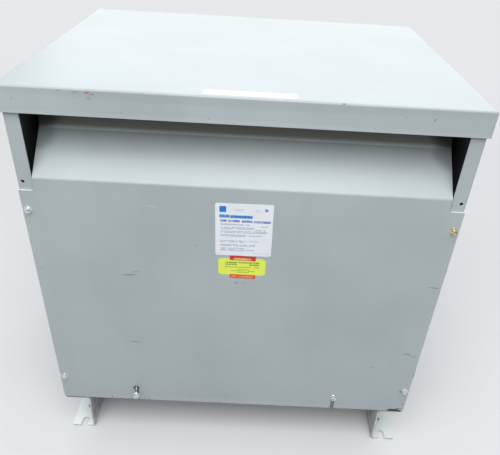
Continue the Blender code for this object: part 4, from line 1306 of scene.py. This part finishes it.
STICKER = ((0.0022, 0.4508), (0.0835, 0.0350), 0.8)
STICKER_YELLOW = (0.84, 0.96, 0.115, 1.0)
STICKER_ENDS = (0.50, 0.36, 0.05, 1.0)
OLIVE_INK = (0.13, 0.20, 0.03, 1.0)
BOLD_ROWS = (
    (13, 34.5, 9.4, 1, 4), (37, 71.5, 9, 1, 4), (13, 33.5, 13.4, 1, 3.8), (54, 71.5, 13.4, 1, 4),
)
FINE_ROWS = (
    (11.6, 72.5, 18.6, 1, 2.6), (33, 54, 23.8, 1, 2), (21.9, 64, 26.8, 1, 2), (33, 54, 29.6, 1, 2),
)
STICKER_PRINTS = ((BOLD_ROWS, 60.0, 560.0, 0.4, OLIVE_INK, 0.95),
                  (FINE_ROWS, 120.0, 800.0, 0.4, OLIVE_INK, 0.75))
yellow = sticker_finish("yellow_film", STICKER_YELLOW, STICKER, STICKER_PRINTS, STICKER_ENDS)
add_film("yellow_sticker", yellow, STICKER, 0.0085)

BAND_TILT = -0.7
BAND_LIFT = 0.00030          # a band lies over the sticker's edge
DEEP_RED = (0.62, 0.022, 0.004, 1.0)
ORANGE_RED = (0.78, 0.085, 0.014, 1.0)
BANDS = (("upper_band", (0.0035, 0.4692), (0.0445, 0.0095), DEEP_RED, (0.92, 0.80, 0.30, 1.0), 0.9,
          ((7, 38, 6.2, 1, 5.2),)),
         ("lower_band", (0.0042, 0.4305), (0.0445, 0.0080), ORANGE_RED, (0.95, 0.55, 0.30, 1.0), 0.75,
          ((3, 11, 3.4, 1, 3.6), (15, 40, 4, 1, 3.6))))
for name, centre, size, tint, ink, strength, rows in BANDS:
    film = (centre, size, BAND_TILT)
    band = sticker_finish(name + "_film", tint, film, ((rows, 40.0, 480.0, 0.4, ink, strength),), tint)
    add_film(name, band, film, 0.0006, lift=BAND_LIFT)

TAPE = ((0.0045, SKIRT + 0.0195), (0.135, 0.0195), 0.0)
tape, tape_shader, tape_place, tape_shade = film_finish("white_tape", (0.88, 0.88, 0.87, 1.0), 0.10)
specks = ramp(noise(tape_place, 330.0, 3.0), 0.68, 0.74, 0.0, 0.5)
set_inputs(tape_shader, {"Base Color": mixed(specks, tape_shade, DIRT)})
add_film("lid_tape", tape, TAPE, 0.0004, on_lid)


# Floor, light and camera
#
# Plain pale floor and even soft light; the camera stands where the photograph was taken.
IMAGE = (500, 455)
FOCAL_PIXELS = 524.8869
IMAGE_MIDDLE = (256.9805, 242.9282)
CAMERA_PLACE = (0.01218, -1.00684, 0.98820)
PITCH = 0.5895               # radians down from level
YAW = -0.0189
ROLL = 0.0613
SENSOR = 36.0
BACKDROP = (0.80, 0.81, 0.82, 1.0)
SKY = (0.96, 0.98, 1.0, 1.0)
SKY_STRENGTH = 0.45
FLOOR_RINGS = (0.0, 2.0, 8.0, 40.0)
FLOOR_LEVEL = -0.0002
FLOOR_BOUNCE = (0.30, 0.30, 0.30, 1)         # what the object gets back from the floor
FADE = (0.9, 3.2)            # the floor fades into the backdrop between these distances


def on_rays(tree, *kinds):
    """1 for rays of these kinds."""
    found = None
    for kind in kinds:
        ray = add_node("LightPath", {}, f"Is {kind} Ray", tree)
        found = calc("MAXIMUM", found, ray) if found else ray
    return found


def floor_finish():
    """Pale matt floor that fades into the backdrop, open from below so that the underside can be seen."""
    made, shader, place = new_finish("pale_floor", 0.9)
    tree = made.node_tree
    direct = on_rays(tree, "Camera", "Glossy")
    fine = mixed(noise(place, 2.0, 3.0), (0.70, 0.71, 0.72, 1), (0.74, 0.75, 0.76, 1))
    set_inputs(shader, {"Specular IOR Level": 0.1, "Base Color": mixed(direct, FLOOR_BOUNCE, fine)})
    far = direct * ramp(vector_calc("LENGTH", place, output="Value"), *FADE)
    haze = add_node("Emission", {"Color": BACKDROP, "Strength": 1.0}, 0, tree)
    faded = add_node("MixShader", {0: far, 1: Field(shader.outputs[0]), 2: haze})
    back = add_node("NewGeometry", {}, "Backfacing", tree)
    both = add_node("MixShader", {0: back, 1: faded, 2: add_node("BsdfTransparent", {}, 0, tree)})
    set_inputs(tree.nodes["Material Output"], {"Surface": both})
    return made


turn = np.linspace(0.0, 2 * math.pi, 65)[None, :]
reach = np.array(FLOOR_RINGS)[:, None]
floor_grid = points_at(reach * np.cos(turn), reach * np.sin(turn), FLOOR_LEVEL)
floor = link_object("floor", grid_mesh("floor", (floor_grid, True, True)))
floor.data.materials.append(floor_finish())
floor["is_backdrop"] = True

world = put(bpy.data.worlds.new("studio"), use_nodes=True)
bpy.context.scene.world = world
sky = world.node_tree
set_inputs(sky.nodes["Background"], {"Color": SKY, "Strength": SKY_STRENGTH})
seen = add_node("Background", {"Color": BACKDROP, "Strength": 1.0}, 0, sky)
either = add_node("MixShader", {0: on_rays(sky, "Camera", "Glossy", "Transmission"),
                                1: Field(sky.nodes["Background"].outputs[0]), 2: seen})
set_inputs(sky.nodes["World Output"], {"Surface": either})


def add_lamp(name, place, aim, size, watts):
    """A square soft lamp that points at a place."""
    lamp = link_object(name, put(bpy.data.lights.new(name, "AREA"), shape="SQUARE", size=size, energy=watts))
    away = np.asarray(aim, float) - np.asarray(place, float)
    flat = math.hypot(away[0], away[1])
    put(lamp, location=place, rotation_euler=(math.atan2(flat, -away[2]), 0.0, math.atan2(-away[0], away[1])))


add_lamp("overhead", (-0.1, -1.75, 3.0), (0.0, -0.1, 0.5), 2.8, 94.0)
add_lamp("rear_fill", (0.2, 2.9, 2.2), (0.0, 0.0, 0.4), 4.0, 58.0)

stand = Matrix.Translation(CAMERA_PLACE)
for axis, angle in (("X", -math.pi / 2), ("Y", -YAW), ("X", -PITCH), ("Z", -ROLL), ("X", math.pi)):
    stand = stand @ Matrix.Rotation(angle, 4, axis)
lens = put(bpy.data.cameras.new("camera"), sensor_fit="HORIZONTAL", sensor_width=SENSOR,
           lens=SENSOR * FOCAL_PIXELS / IMAGE[0], shift_x=(IMAGE[0] / 2 - IMAGE_MIDDLE[0]) / IMAGE[0],
           shift_y=(IMAGE_MIDDLE[1] - IMAGE[1] / 2) / IMAGE[0])
camera = put(link_object("camera", lens), matrix_world=stand)
bpy.context.scene.camera = camera
bpy.context.scene.view_settings.view_transform = "Standard"


low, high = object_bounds()
